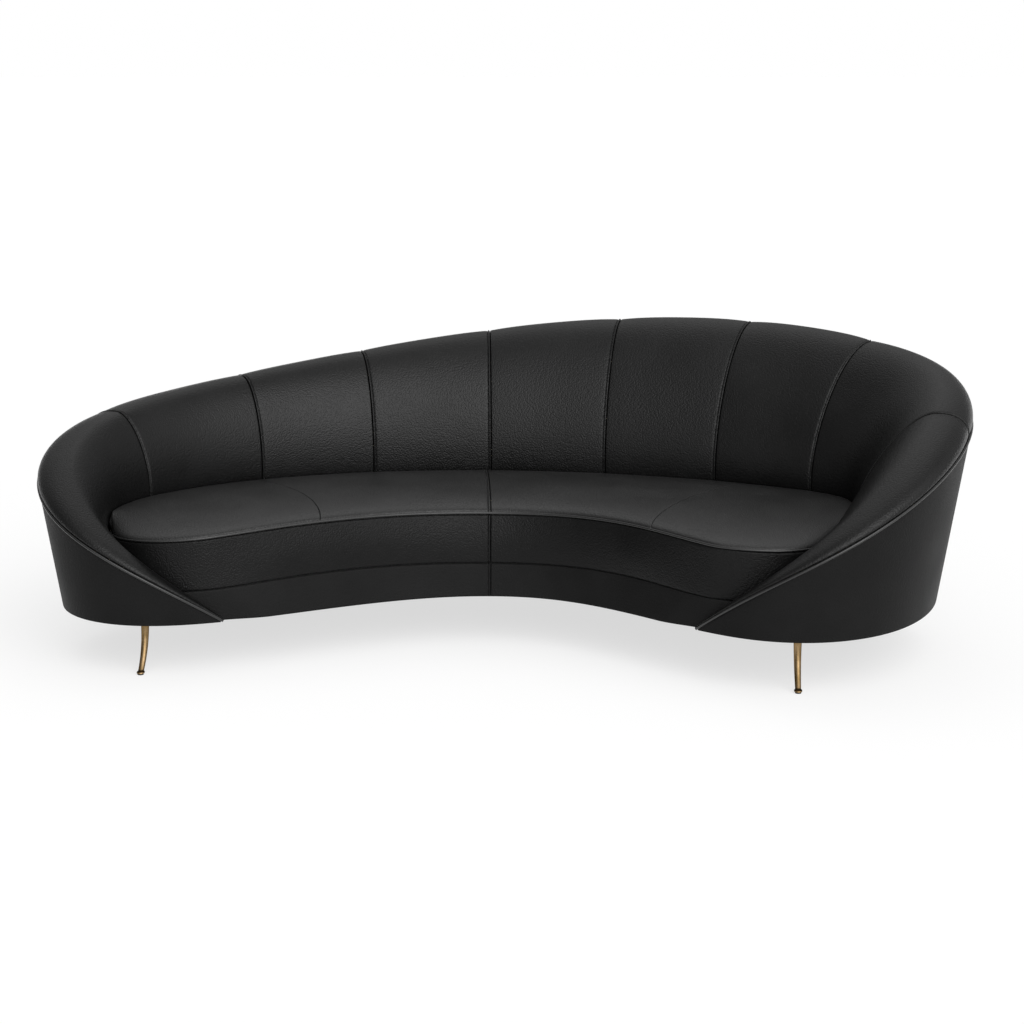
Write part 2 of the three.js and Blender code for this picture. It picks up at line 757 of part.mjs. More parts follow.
function asSolid(geometry) {
  geometry.deleteAttribute('normal');
  geometry.deleteAttribute('uv');
  const merged = mergeVertices(geometry);
  return new wasm.Manifold(new wasm.Mesh({
    numProp: 3,
    vertProperties: merged.getAttribute('position').array,
    triVerts: Uint32Array.from(merged.getIndex().array),
  }));
}

function fromSolid(solid) {
  const mesh = solid.getMesh();
  const geometry = new THREE.BufferGeometry();
  geometry.setAttribute('position', new THREE.Float32BufferAttribute(mesh.vertProperties, 3));
  geometry.setIndex(Array.from(mesh.triVerts));
  geometry.computeVertexNormals();
  return geometry;
}

function ringOfPoints(centre, radius) {
  const half = legSides / 2;
  const point = (k) => {
    const angle = (2 * Math.PI * k) / legSides;
    const offset = new THREE.Vector3(Math.cos(angle), Math.sin(angle), 0);
    return offset.multiplyScalar(radius).add(centre);
  };
  return [
    Array.from({ length: half }, (_, k) => point(k)),
    Array.from({ length: half }, (_, k) => point(legSides - 1 - k)),
  ];
}

const sabrePower = 2.4;
const ringStepShare = 0.15;

function sabreLeg(top, foot) {
  const plateBottom = bodyClearance - legPlateThickness;
  const legTopHeight = plateBottom + legWeldDepth;
  const sides = [];
  const centreAt = (height) => {
    const share = (legTopHeight - height) / (legTopHeight - glideThickness);
    return new THREE.Vector3().lerpVectors(top, foot, share ** sabrePower).setZ(height);
  };
  const ringTop = glideThickness + legRingHeight;
  sides.push(ringOfPoints(centreAt(glideThickness), legRingRadius));
  sides.push(ringOfPoints(centreAt(ringTop - ringStepShare * legRingHeight), legRingRadius));
  sides.push(ringOfPoints(centreAt(ringTop), legAnkleRadius));
  for (let i = 1; i <= legSteps; i += 1) {
    const height = ringTop + ((legTopHeight - ringTop) * i) / legSteps;
    const radius = legAnkleRadius + ((legTopRadius - legAnkleRadius) * i) / legSteps;
    sides.push(ringOfPoints(centreAt(height), radius));
  }
  const plateGeometry = new THREE.BoxGeometry(legPlateSize, legPlateSize, legPlateThickness);
  plateGeometry.translate(top.x, top.y, plateBottom + legPlateThickness / 2);
  return fromSolid(asSolid(bandGeometry(sides)).add(asSolid(plateGeometry)));
}

const legPlaces = [
  ['front_left', 0.0772],
  ['front_right', 0.763],
  ['rear_left', 0.262],
  ['rear_middle', 0.43],
  ['rear_right', 0.585],
];

legPlaces.forEach(([name, share]) => {
  const frame = frameAt(share);
  const top = place3(frame, [-legTopSetback, 0]);
  const foot = place3(frame, [-legTopSetback + legSplay, 0]);
  addPiece(`leg_${name}`, sabreLeg(top, foot), brassColour, 0.28, 1);
  const glide = new THREE.CylinderGeometry(glideRadius, glideRadius, glideThickness, legSides);
  glide.rotateX(Math.PI / 2);
  glide.translate(foot.x, foot.y, glideThickness / 2);
  addPiece(`foot_glide_${name}`, glide, nylonColour, 0.6);
});

// The origin lies on the floor under the centre of the whole sofa
const bounds = new THREE.Box3().setFromObject(sofa);
const middle = bounds.getCenter(new THREE.Vector3());
sofa.position.set(-middle.x, -middle.y, -bounds.min.z);
sofa.updateMatrixWorld(true);

export default sofa;
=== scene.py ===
import math

import bmesh
import bpy
import numpy as np
from mathutils import Matrix, Vector


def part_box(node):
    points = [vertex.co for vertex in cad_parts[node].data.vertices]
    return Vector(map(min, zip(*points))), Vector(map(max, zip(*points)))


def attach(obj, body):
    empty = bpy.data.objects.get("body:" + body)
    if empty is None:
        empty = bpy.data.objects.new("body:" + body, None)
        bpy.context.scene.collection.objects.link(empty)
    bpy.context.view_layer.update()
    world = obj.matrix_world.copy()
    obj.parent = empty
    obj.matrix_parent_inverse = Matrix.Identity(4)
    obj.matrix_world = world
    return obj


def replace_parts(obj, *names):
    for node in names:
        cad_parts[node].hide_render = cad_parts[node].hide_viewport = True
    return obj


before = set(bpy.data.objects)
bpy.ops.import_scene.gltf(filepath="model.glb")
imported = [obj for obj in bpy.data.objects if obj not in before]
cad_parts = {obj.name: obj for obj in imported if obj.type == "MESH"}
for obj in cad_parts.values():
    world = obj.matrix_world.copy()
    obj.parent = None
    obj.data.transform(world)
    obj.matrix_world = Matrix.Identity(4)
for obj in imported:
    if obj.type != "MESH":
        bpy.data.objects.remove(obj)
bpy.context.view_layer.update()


# Frame timbers.
# The real frame is planed beech rails and cross members, glued and stapled to ribs and a base
# of birch plywood, with bent plywood round the outside. All of it is hidden once upholstered.

def linear(code):
    """An sRGB hex colour as the linear RGBA that a shader takes."""
    parts = [int(code[i:i + 2], 16) / 255 for i in (1, 3, 5)]
    return [c / 12.92 if c <= 0.04045 else ((c + 0.055) / 1.055) ** 2.4 for c in parts] + [1.0]


def add_node(tree, kind, inputs=None, **settings):
    """Adds a node with its settings; each input is a value or another node's output."""
    made = tree.nodes.new(kind)
    for key, value in settings.items():
        setattr(made, key, value)
    for key, value in (inputs or {}).items():
        if isinstance(value, bpy.types.NodeSocket):
            tree.links.new(value, made.inputs[key])
        else:
            made.inputs[key].default_value = value
    return made


def new_material(name):
    """An empty node material with its tree, output and object coordinates."""
    material = bpy.data.materials.new(name)
    material.use_nodes = True
    tree = material.node_tree
    tree.nodes.clear()
    output = add_node(tree, "ShaderNodeOutputMaterial")
    coords = add_node(tree, "ShaderNodeTexCoord")
    return material, tree, output, coords.outputs["Object"]


def set_ramp(ramp, stops):
    """Sets a colour ramp's stops to (position, hex colour) pairs."""
    elements = ramp.color_ramp.elements
    while len(elements) < len(stops):
        elements.new(0.5)
    for element, (position, code) in zip(elements, stops):
        element.position = position
        element.color = linear(code)


def add_bump(tree, height, strength, distance):
    """A bump from a height output; distance is in metres."""
    inputs = {"Height": height, "Strength": strength, "Distance": distance}
    return add_node(tree, "ShaderNodeBump", inputs).outputs[0]


def add_surface(tree, output, inputs):
    """Gives a material its shader."""
    shader = add_node(tree, "ShaderNodeBsdfPrincipled", inputs)
    tree.links.new(shader.outputs[0], output.inputs["Surface"])


def wood(name, pale, dark, grain_mm, stretch):
    """Unfinished wood: grain drawn out along the sofa, with pores that dull the surface."""
    material, tree, output, place = new_material(name)
    mapping = add_node(tree, "ShaderNodeMapping", {"Vector": place, "Scale": (1 / stretch, 1, 1)})
    grain = add_node(tree, "ShaderNodeTexNoise", {
        "Vector": mapping.outputs[0], "Scale": 1000 / grain_mm, "Detail": 6.0, "Roughness": 0.6,
    })
    ramp = add_node(tree, "ShaderNodeValToRGB", {"Fac": grain.outputs["Fac"]})
    set_ramp(ramp, [(0.35, dark), (0.65, pale)])
    add_surface(tree, output, {
        "Base Color": ramp.outputs["Color"], "Roughness": 0.7, "IOR": 1.5,
        "Normal": add_bump(tree, grain.outputs["Fac"], 0.3, 0.0004),
    })
    return material


def dress(names, material):
    """Gives carried-over solids their finished material."""
    for name in names:
        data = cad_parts[name].data
        data.materials.clear()
        data.materials.append(material)


beech = wood("planed_beech", "#C79C6C", "#A97B4C", grain_mm=6, stretch=14)
birch = wood("birch_plywood", "#D8BE92", "#BE9F70", grain_mm=9, stretch=10)
bent = wood("bending_plywood", "#CFAE7F", "#B08D5E", grain_mm=8, stretch=6)
dress(["front_rail", "rear_rail", "top_rail"], beech)
dress([f"cross_member_{i}" for i in (1, 2, 3)], beech)
dress(["base_board"] + [f"back_rib_{i}" for i in range(1, 9)], birch)
dress([f"outer_board_{side}" for side in ("left", "rear", "right")], bent)


# Webbing and dust cover.
# Elastic webbing straps are woven from rubber and polypropylene and stapled across the rails.
# The dust cover is black non-woven cloth, bonded from fibres and stapled under the base.

def cloth(name, pale, dark, thread_mm, ridge):
    """Woven or bonded cloth: two crossed waves of thread, broken up by fibre noise."""
    material, tree, output, place = new_material(name)
    fibre = add_node(tree, "ShaderNodeTexNoise", {
        "Vector": place, "Scale": 1000 / thread_mm, "Detail": 3.0,
    })
    threads = [
        add_node(tree, "ShaderNodeTexWave", {
            "Vector": place, "Scale": 1000 / thread_mm / 20, "Distortion": 1.5, "Detail": 1.0,
        }, bands_direction=direction)
        for direction in ("X", "Y")
    ]
    weave = add_node(tree, "ShaderNodeMath", {
        0: threads[0].outputs["Fac"], 1: threads[1].outputs["Fac"],
    }, operation="MULTIPLY")
    height = add_node(tree, "ShaderNodeMath", {
        0: weave.outputs[0], 1: fibre.outputs["Fac"],
    }, operation="ADD")
    ramp = add_node(tree, "ShaderNodeValToRGB", {"Fac": fibre.outputs["Fac"]})
    set_ramp(ramp, [(0.3, dark), (0.7, pale)])
    add_surface(tree, output, {
        "Base Color": ramp.outputs["Color"], "Roughness": 0.9, "Sheen Weight": 0.15,
        "Normal": add_bump(tree, height.outputs[0], 0.6, ridge),
    })
    return material


dress([f"seat_strap_{i}" for i in range(1, 6)],
      cloth("elastic_webbing", "#3A332C", "#1E1A16", thread_mm=1.2, ridge=0.0004))
dress(["dust_cover"], cloth("non_woven_dust_cloth", "#1C1C1D", "#101011", thread_mm=0.9, ridge=0.0002))


# Glides.
# Each foot stands on a small glide, moulded from black nylon and pressed into the leg's end. Its
# spark-eroded mould leaves a faint speckle.

glide_material, tree, output, place = new_material("moulded_black_nylon")
speckle = add_node(tree, "ShaderNodeTexNoise", {"Vector": place, "Scale": 1500.0, "Detail": 2.0})
add_surface(tree, output, {
    "Base Color": linear("#1A1A1A"), "Roughness": 0.55, "IOR": 1.53,
    "Normal": add_bump(tree, speckle.outputs["Fac"], 0.2, 0.0001),
})
leg_names = ["front_left", "front_right", "rear_left", "rear_middle", "rear_right"]
dress([f"foot_glide_{name}" for name in leg_names], glide_material)


# Outer cover.
# Flat leather in three lengths is pulled over bent plywood round the outside of the body, seamed
# twice at the rear, tucked under the piping at its top and stapled under the base at its bottom.
# The body leans outwards all round, so its plan grows from the bottom edge up.

# The named sizes of the pieces are in millimetres
plan_width = 2650.0
plan_depth = 1392.0
body_clearance = 155.0
flare_share = 0.157
outline_shares = np.array([
    [-0.226, -0.137], [-0.355, -0.287], [-0.460, -0.262], [-0.521, -0.090], [-0.502, 0.162],
    [-0.387, 0.399], [-0.194, 0.557], [0.032, 0.600], [0.251, 0.514], [0.417, 0.356],
    [0.498, 0.169], [0.487, -0.083], [0.423, -0.322], [0.328, -0.428], [0.230, -0.380],
    [0.141, -0.173], [0.041, -0.001], [-0.089, 0.001],
])
left_tip_share = 0.04
right_tip_share = 0.81
piping_rise = 690.0
piping_shares = [0.007, 0.613, 0.709, 0.851, 0.980, 0.981, 0.841, 0.642, 0.007]
piping_radius = 4.5
layer_gap = 0.3
outer_seam_shares = [0, 0.294, 0.685, 1]


def spline_weights(t):
    """The four weights of a uniform cubic spline at t."""
    early = 3 * t ** 3 - 6 * t ** 2 + 4
    late = -3 * t ** 3 + 3 * t ** 2 + 3 * t + 1
    return np.array([(1 - t) ** 3, early, late, t ** 3]) / 6


def outline_point(t):
    """A point on the body's bottom outline, in millimetres."""
    count = len(outline_shares)
    place = np.mod(t, 1) * count
    first = np.floor(place).astype(int)
    weights = spline_weights(place - first)
    points = sum(weights[k][..., None] * outline_shares[(first + k - 1) % count] for k in range(4))
    return points * (plan_width, plan_depth)


outline_steps = np.linspace(0, 1, 4801)
outline_runs = np.linalg.norm(np.diff(outline_point(outline_steps), axis=0), axis=1)
outline_length = outline_runs.sum()
outline_places = np.concatenate([[0], np.cumsum(outline_runs)]) / outline_length
run_length = outline_length * (right_tip_share - left_tip_share)


def frame_at(share):
    """The outline's point at a share of its length, and the way out of the body there."""
    t = np.interp(np.mod(share, 1), outline_places, outline_steps)
    along = outline_point(t + 1e-4) - outline_point(t - 1e-4)
    along /= np.linalg.norm(along, axis=-1, keepdims=True)
    return outline_point(t), np.stack([-along[..., 1], along[..., 0]], axis=-1)


def place_at(share, outward, height):
    """Points in metres, at a distance out from the outline and a height, in the sofa's own frame."""
    share, outward, height = np.broadcast_arrays(share, outward, height)
    point, out = frame_at(share)
    flat = point + out * outward[..., None]
    return (np.concatenate([flat, height[..., None]], axis=-1) + plan_shift) / 1000


def blend_shares(shares, v):
    """A table of shares at equal steps, smoothed by a cubic spline."""
    padded = [2 * shares[0] - shares[1], *shares, 2 * shares[-1] - shares[-2]]
    padded = np.array(padded, float)
    last = len(shares) - 1
    place = np.clip(v, 0, 1) * last
    first = np.minimum(np.floor(place).astype(int), last - 1)
    weights = spline_weights(place - first)
    return sum(weights[k] * padded[first + k] for k in range(4))


def run_share(v):
    """The outline's share at a share of the run, from the left arm's tip to the right arm's."""
    return left_tip_share + v * (right_tip_share - left_tip_share)


def outer_at(height):
    """How far out from the outline the outer cover stands at a height."""
    return flare_share * (height - body_clearance)


def piping_height(v):
    """The piping's height at a share of the run."""
    return body_clearance + piping_rise * blend_shares(piping_shares, v)


# The sofa's own frame is set from a foot, whose place on the outline is known
leg_shares = {"front_left": 0.0772, "front_right": 0.763, "rear_left": 0.262,
              "rear_middle": 0.43, "rear_right": 0.585}
leg_top_setback = 98.0
leg_splay = 58.0
plan_shift = np.zeros(3)
foot_place = place_at(leg_shares["front_left"], leg_splay - leg_top_setback, 0.0) * 1000
low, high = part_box("foot_glide_front_left")
plan_shift = np.array([(low.x + high.x) * 500, (low.y + high.y) * 500, 0]) - foot_place


def steps_between(length, near_start, near_end, step):
    """Distances along a piece: close together near its ends, where the seams are, and even between."""
    near = np.array([0, 0.4, 0.9, 1.6, 2.4, 3.4, 4.6, 5.8, 6.8, 7.6, 8.4, 9.2, 10, 11, 13, 16, 21, 27])
    start = near[near < length / 2] if near_start else np.array([0.0])
    end = length - (near[near < length / 2][::-1] if near_end else np.array([0.0]))
    count = max(2, int(round((end[0] - start[-1]) / step)))
    middle = np.linspace(start[-1], end[0], count + 1)[1:-1]
    return np.concatenate([start, middle, end])


def grid_normals(points):
    """Unit normals of a grid of points."""
    along = np.gradient(points, axis=0)
    across = np.gradient(points, axis=1)
    normal = np.cross(along, across)
    return normal / np.maximum(np.linalg.norm(normal, axis=-1, keepdims=True), 1e-12)


def sheet_grid(bm, points):
    """A flat cut of leather, with every vertex moved onto the form."""
    columns, rows = points.shape[:2]
    made = bmesh.ops.create_grid(bm, x_segments=columns - 1, y_segments=rows - 1, size=0.5)
    for vertex in made["verts"]:
        i = round((vertex.co.x + 0.5) * (columns - 1))
        j = round((vertex.co.y + 0.5) * (rows - 1))
        vertex.co = points[i, j]
    return made["verts"]


def finish_mesh(name, bm, material, levels=0):
    """Makes a smooth-shaded piece that rides on the body."""
    bmesh.ops.recalc_face_normals(bm, faces=bm.faces)
    mesh = bpy.data.meshes.new(name)
    bm.to_mesh(mesh)
    bm.free()
    mesh.polygons.foreach_set("use_smooth", [True] * len(mesh.polygons))
    mesh.materials.append(material)
    piece = bpy.data.objects.new(name, mesh)
    bpy.context.scene.collection.objects.link(piece)
    if levels:
        surface = piece.modifiers.new("surface", "SUBSURF")
        surface.levels = levels
        surface.render_levels = levels
    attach(piece, "root")
    return piece


def sewn_pad(name, face, back, material, levels=1):
    """A padded leather piece: its face and its back are sewn together all round their edges."""
    back = back.copy()
    back[0], back[-1], back[:, 0], back[:, -1] = face[0], face[-1], face[:, 0], face[:, -1]
    bm = bmesh.new()
    sheet_grid(bm, face)
    sheet_grid(bm, back)
    bmesh.ops.remove_doubles(bm, verts=bm.verts, dist=1e-6)
    return finish_mesh(name, bm, material, levels)


# Real pebbles are under 1 mm wide, and are drawn 4 mm wide so that they show
pebble_width = 4.0
ripple_width = 6.0
ripple_slant = math.radians(-35)
ripple_stretch = (2.6, 2.6, 1.0)


def leather(name, pale, dark, roughness, gloss, pebble_depth, ripple_depth):
    """Fine-grain leather: pebbles, patches of fine ripples where it is pulled, and an uneven satin.

    The depths are in metres.
    """
    material, tree, output, place = new_material(name)
    pebbles = add_node(tree, "ShaderNodeTexVoronoi", {
        "Vector": place, "Scale": 1000 / pebble_width, "Randomness": 1.0,
    }, feature="SMOOTH_F1")
    slanted = add_node(tree, "ShaderNodeMapping", {
        "Vector": place, "Rotation": (0, ripple_slant, 0), "Scale": ripple_stretch,
    }, vector_type="TEXTURE")
    ripples = add_node(tree, "ShaderNodeTexNoise", {
        "Vector": slanted.outputs[0], "Scale": 1000 / ripple_width, "Detail": 2.0, "Distortion": 0.6,
    })
    patches = add_node(tree, "ShaderNodeTexNoise", {"Vector": place, "Scale": 6.0, "Detail": 2.0})
    pulled = add_node(tree, "ShaderNodeMapRange", {
        "Value": patches.outputs["Fac"], "From Min": 0.45, "From Max": 0.68,
        "To Min": 0.1 * ripple_depth, "To Max": ripple_depth,
    })
    ripple = add_node(tree, "ShaderNodeMath", {
        0: ripples.outputs["Fac"], 1: pulled.outputs[0],
    }, operation="MULTIPLY")
    pebble = add_node(tree, "ShaderNodeMath", {
        0: pebbles.outputs["Distance"], 1: -pebble_depth,
    }, operation="MULTIPLY")
    height = add_node(tree, "ShaderNodeMath", {0: ripple.outputs[0], 1: pebble.outputs[0]}, operation="ADD")
    ramp = add_node(tree, "ShaderNodeValToRGB", {"Fac": patches.outputs["Fac"]})
    set_ramp(ramp, [(0.3, dark), (0.7, pale)])
    worn = add_node(tree, "ShaderNodeMapRange", {
        "Value": patches.outputs["Fac"], "From Min": 0.3, "From Max": 0.7,
        "To Min": roughness - 0.03, "To Max": roughness + 0.04,
    })
    add_surface(tree, output, {
        "Base Color": ramp.outputs["Color"], "Roughness": worn.outputs[0], "IOR": 1.45,
        "Specular IOR Level": gloss, "Normal": add_bump(tree, height.outputs[0], 1.0, 1.0),
    })
    return material


# Nobody sits against the outside, so the hide there stays matt and shows its form by soft shade
outside_leather = leather("matt_aniline_leather", "#202020", "#1B1B1B", 0.50, 0.07, 0.0012, 0.0005)

stitch_line = 8.4


def lapped_edge(distance):
    """Height of a seam's upper edge: a folded rib, the stitched crease behind it and the swell after."""
    at = [0, 0.4, 0.9, 1.6, 2.4, 3.6, 5.2, 6.4, 7.4, stitch_line, 9.4, 10.4, 12, 16, 22]
    rise = [-7, -4.0, -1.0, 0.7, 1.5, 1.8, 1.5, 0.6, -1.6, -3.4, -1.6, -0.7, -0.3, -0.1, 0]
    return np.interp(distance, at, rise)


def butted_edge(distance):
    """Height of a seam's lower edge, which dips under the fold of the other."""
    at = [0, 0.6, 0.9, 1.6, 2.4, 3.4, 5, 8, 12, 20]
    rise = [-7, -5.6, -2.8, -1.0, -0.5, -0.3, -0.2, -0.08, -0.02, 0]
    return np.interp(distance, at, rise)


def corded_edge(distance):
    """Height of an edge that is pulled down beside a sewn-in cord."""
    return np.interp(distance, [0, 0.8, 1.8, 3, 4.5, 7, 11], [-5.0, -4.2, -3.0, -1.8, -0.8, -0.2, 0])


outer_rows = np.linspace(0, 1, 30)
outer_hem = np.array([0, 1.2, 2.6, 5, 10])
outer_top = np.array([14, 9, 6, 4, 2.6, 1.6, 0.8, 0])
outer_low_height = 60.0
outer_step = 16
outer_thickness = 3.0
outer_crease_share = 0.45
outer_lap_share = 0.35
hem_turn_depth = 2.0
hem_turn_height = 3.0
for k, side in enumerate(("left", "rear", "right")):
    start, end = outer_seam_shares[k:k + 2]
    distance = steps_between((end - start) * run_length, k > 0, k < 2, outer_step)
    v = start + distance / run_length
    top = piping_height(v) - piping_radius - layer_gap
    middle = outer_rows[1:-1] * (top - body_clearance)[:, None]
    room = np.minimum(1, (top - body_clearance)[:, None] / outer_low_height)
    height = np.concatenate([
        body_clearance + outer_hem * room, body_clearance + middle, top[:, None] - outer_top * room,
    ], axis=1)
    height = np.sort(height, axis=1)
    base = place_at(run_share(v)[:, None], outer_at(height), height)
    normal = -grid_normals(base)
    tuck = -hem_turn_depth * (1 - np.sqrt(np.clip((height - body_clearance) / hem_turn_height, 0, 1)))
    tuck += outer_crease_share * corded_edge(top[:, None] - height) * room
    lap = np.zeros(len(v))
    if k > 0:
        lap += butted_edge(distance)
    if k < 2:
        lap += lapped_edge(distance[-1] - distance)
    face = base + normal * ((tuck + outer_lap_share * lap[:, None])[..., None] / 1000)
    back = base - normal * (outer_thickness / 1000)
    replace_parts(sewn_pad(f"outer_leather_{side}", face, back, outside_leather), f"outer_cover_{side}")


# Back and arms.
# Nine padded leather panels, sewn edge to edge by lapped seams, run from one arm's tip round the
# back to the other. Each is pulled over foam from the piping, over the roll, down to the seat.

roll_rise = 110.0
roll_inset = 116.0
wall_thickness = 250.0
crest_reach = 120.0
lumbar_bulge = 36.0
panel_crown = 5.0
seat_edge_height = 407.0
seat_edge_lift = 12.0
roll_rise_shares = [0.08, 0.70, 0.68, 0.64, 0.70, 0.89, 1, 0.51, 0.11]
roll_inset_shares = [0.11, 0.96, 1, 0.78, 0.52, 0.39, 0.69, 0.92, 0.13]
wall_shares = [0.064, 0.70, 0.60, 0.64, 0.84, 0.98, 1, 1.02, 0.064]
reach_shares = [0.08, 0.38, 0.64, 0.86, 1, 1, 0.91, 0.68, 0.09]
lumbar_height_shares = [0.30, 0.37, 0.42, 0.45, 0.51, 0.46, 0.31, 0.24, 0.20]
lumbar_bulge_shares = [0, 0.36, 0.61, 0.81, 1, 1, 0.59, 0.21, 0]
roll_fullness_share = 0.62
junction_share = 0.6
junction_blend_share = 0.1
crown_power = 4
seam_level_share = 0.4
seam_shares = [0, 0.198, 0.294, 0.372, 0.452, 0.531, 0.609, 0.685, 0.811, 1]
seam_lean = 60.0
seam_lean_shares = [0, -0.15, -0.2, -0.17, 0.1, 0.6, 0.95, -0.6, 0]
seam_lean_power = 2


def bezier(points, t):
    """Points on a cubic curve through arrays of (out, height) pairs."""
    a, b, c, d = [p[..., None, :] for p in points]
    t = t[None, :, None]
    return a * (1 - t) ** 3 + 3 * b * t * (1 - t) ** 2 + 3 * c * t * t * (1 - t) + d * t ** 3


def face_lines(v, roll_rows, face_rows):
    """The back's section from the piping over the roll and down to the seat, at each share of the run."""
    height = piping_height(v)
    rise = roll_rise * blend_shares(roll_rise_shares, v)
    inset = roll_inset * blend_shares(roll_inset_shares, v)
    wall = wall_thickness * blend_shares(wall_shares, v)
    reach = crest_reach * blend_shares(reach_shares, v)
    bulge = lumbar_bulge * blend_shares(lumbar_bulge_shares, v)
    crest_height = height + rise
    piping_out = outer_at(height)
    arm_line = body_clearance + junction_share * (crest_height - body_clearance)
    blend = junction_blend_share * (seat_edge_height - body_clearance)
    seat_line = seat_edge_height + seat_edge_lift
    foot_height = -blend * np.log(np.exp(-arm_line / blend) + np.exp(-seat_line / blend))
    up = np.array([flare_share, 1]) / math.hypot(flare_share, 1)
    start = np.stack([piping_out, height], -1) + up * (piping_radius + layer_gap)
    crest = np.stack([piping_out - inset, crest_height], -1)
    foot = np.stack([-wall, foot_height], -1)
    drop = (crest_height - foot_height) * blend_shares(lumbar_height_shares, v)
    above_start = start + up * (roll_fullness_share * (crest_height - start[:, 1]))[:, None]
    before_crest = crest + np.stack([roll_fullness_share * inset, 0 * inset], -1)
    after_crest = crest - np.stack([reach, 0 * reach], -1)
    above_foot = np.stack([foot[:, 0] - bulge, foot[:, 1] + drop], -1)
    roll = bezier([start, above_start, before_crest, crest], roll_rows)
    face = bezier([crest, after_crest, above_foot, foot], face_rows)
    return np.concatenate([roll, face[:, 1:]], axis=1)


def panel_lift(v):
    """How far the padding crowns a panel between its seams."""
    edges = np.array(seam_shares)
    panel = np.clip(np.searchsorted(edges[1:-1], v), 0, len(edges) - 2)
    s = (v - edges[panel]) / (edges[panel + 1] - edges[panel])
    thickness = np.minimum(1, blend_shares(wall_shares, v))
    return panel_crown * thickness * (seam_level_share - np.abs(2 * s - 1) ** crown_power)


def lengths_across(points):
    """Real distances along a grid's first axis, in millimetres, from its start and from its end."""
    steps = np.linalg.norm(np.diff(points, axis=0), axis=-1) * 1000
    from_start = np.concatenate([np.zeros((1, points.shape[1])), np.cumsum(steps, axis=0)])
    return from_start, from_start[-1:] - from_start


def along_seam(points, distance, target):
    """The line on a grid that keeps a distance from a seam."""
    order = 1 if distance[-1, 0] > distance[0, 0] else -1
    rows = range(points.shape[1])
    return np.array([[np.interp(target, distance[::order, j], points[::order, j, axis])
                      for axis in range(3)] for j in rows])


roll_rows = np.concatenate([[0, 0.004, 0.009, 0.016, 0.026, 0.04, 0.06, 0.085], np.linspace(0.12, 1, 16)])
face_rows = np.concatenate([np.linspace(0, 0.94, 46), [0.96, 0.975, 0.99, 1]])
foot_tuck = np.array([2.0, 5.0, 9.0, 14.0])
hem_depth = 3.0
pad_thickness = 11.0
thin_wall_share = 0.3
least_thickness_share = 0.12
roll_row = 12
arm_step = 12
panel_step = 14
stitch_lines = {}
leaves_to_right = 3
# The hide of the back keeps a satin finish, and its grain breaks up the light
cover_leather = leather("semi_aniline_leather", "#101010", "#0B0B0B", 0.33, 0.32, 0.0012, 0.0007)


def leaning_lines(v):
    """The section lines, whose rows lean along the run towards the crest as the seams do."""
    to_crest = np.concatenate([roll_rows, 1 - face_rows[1:]])
    lean = seam_lean * blend_shares(seam_lean_shares, v) / run_length
    places = v[:, None] + lean[:, None] * to_crest ** seam_lean_power
    count = len(to_crest)
    lines = face_lines(places.ravel(), roll_rows, face_rows).reshape(len(v), count, count, 2)
    return places, lines[:, range(count), range(count)]


for k in range(9):
    start, end = seam_shares[k:k + 2]
    step = arm_step if k in (0, 8) else panel_step
    distance = steps_between((end - start) * run_length, k > 0, k < 8, step)
    v = np.clip(start + distance / run_length, start, end)
    places, lines = leaning_lines(v)
    foot = lines[:, -1:]
    floor_gap = np.maximum(foot[..., 1] - body_clearance - 1, 0)
    tucked = np.stack([
        np.broadcast_to(foot[..., 0], (len(v), len(foot_tuck))),
        foot[..., 1] - np.minimum(foot_tuck[None, :], floor_gap),
    ], -1)
    lines = np.concatenate([lines, tucked], axis=1)
    places = np.concatenate([places, np.repeat(v[:, None], len(foot_tuck), axis=1)], axis=1)
    base = place_at(run_share(places), lines[..., 0], lines[..., 1])
    normal = grid_normals(base)
    normal *= np.sign(np.mean(normal[:, roll_row, 2]))
    # The padding thins out with the arm towards its tip
    scale = np.clip(blend_shares(wall_shares, v) / thin_wall_share, least_thickness_share, 1)
    from_start, from_end = lengths_across(base)
    lap = np.zeros(from_start.shape)
    if k > 0:
        lap += (lapped_edge if k <= leaves_to_right else butted_edge)(from_start)
    if k < 8:
        lap += (butted_edge if k < leaves_to_right else lapped_edge)(from_end)
    girth = np.cumsum(np.linalg.norm(np.diff(base, axis=1), axis=-1), axis=1) * 1000
    girth = np.concatenate([np.zeros((len(v), 1)), girth], axis=1)
    hem = np.maximum(corded_edge(girth), -hem_depth) * scale[:, None]
    rise = panel_lift(v)[:, None] + lap * scale[:, None] + hem
    face = base + normal * (rise[..., None] / 1000)
    back = base - normal * (pad_thickness * scale[:, None, None] / 1000)
    piece = sewn_pad(f"back_leather_{k + 1}", face, back, cover_leather)
    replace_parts(piece, f"back_panel_{k + 1}")
    shown = slice(0, -len(foot_tuck))
    for sewn, away in ((0 < k <= leaves_to_right, from_start), (leaves_to_right <= k < 8, from_end)):
        if sewn:
            stitch_lines[f"back_{len(stitch_lines)}"] = [
                along_seam(values[:, shown], away[:, shown], stitch_line) for values in (face, normal)
            ]


# Piping.
# A cord wrapped in a strip of the same leather is sewn in between the roll and the outer cover
# and runs from tip to tip.

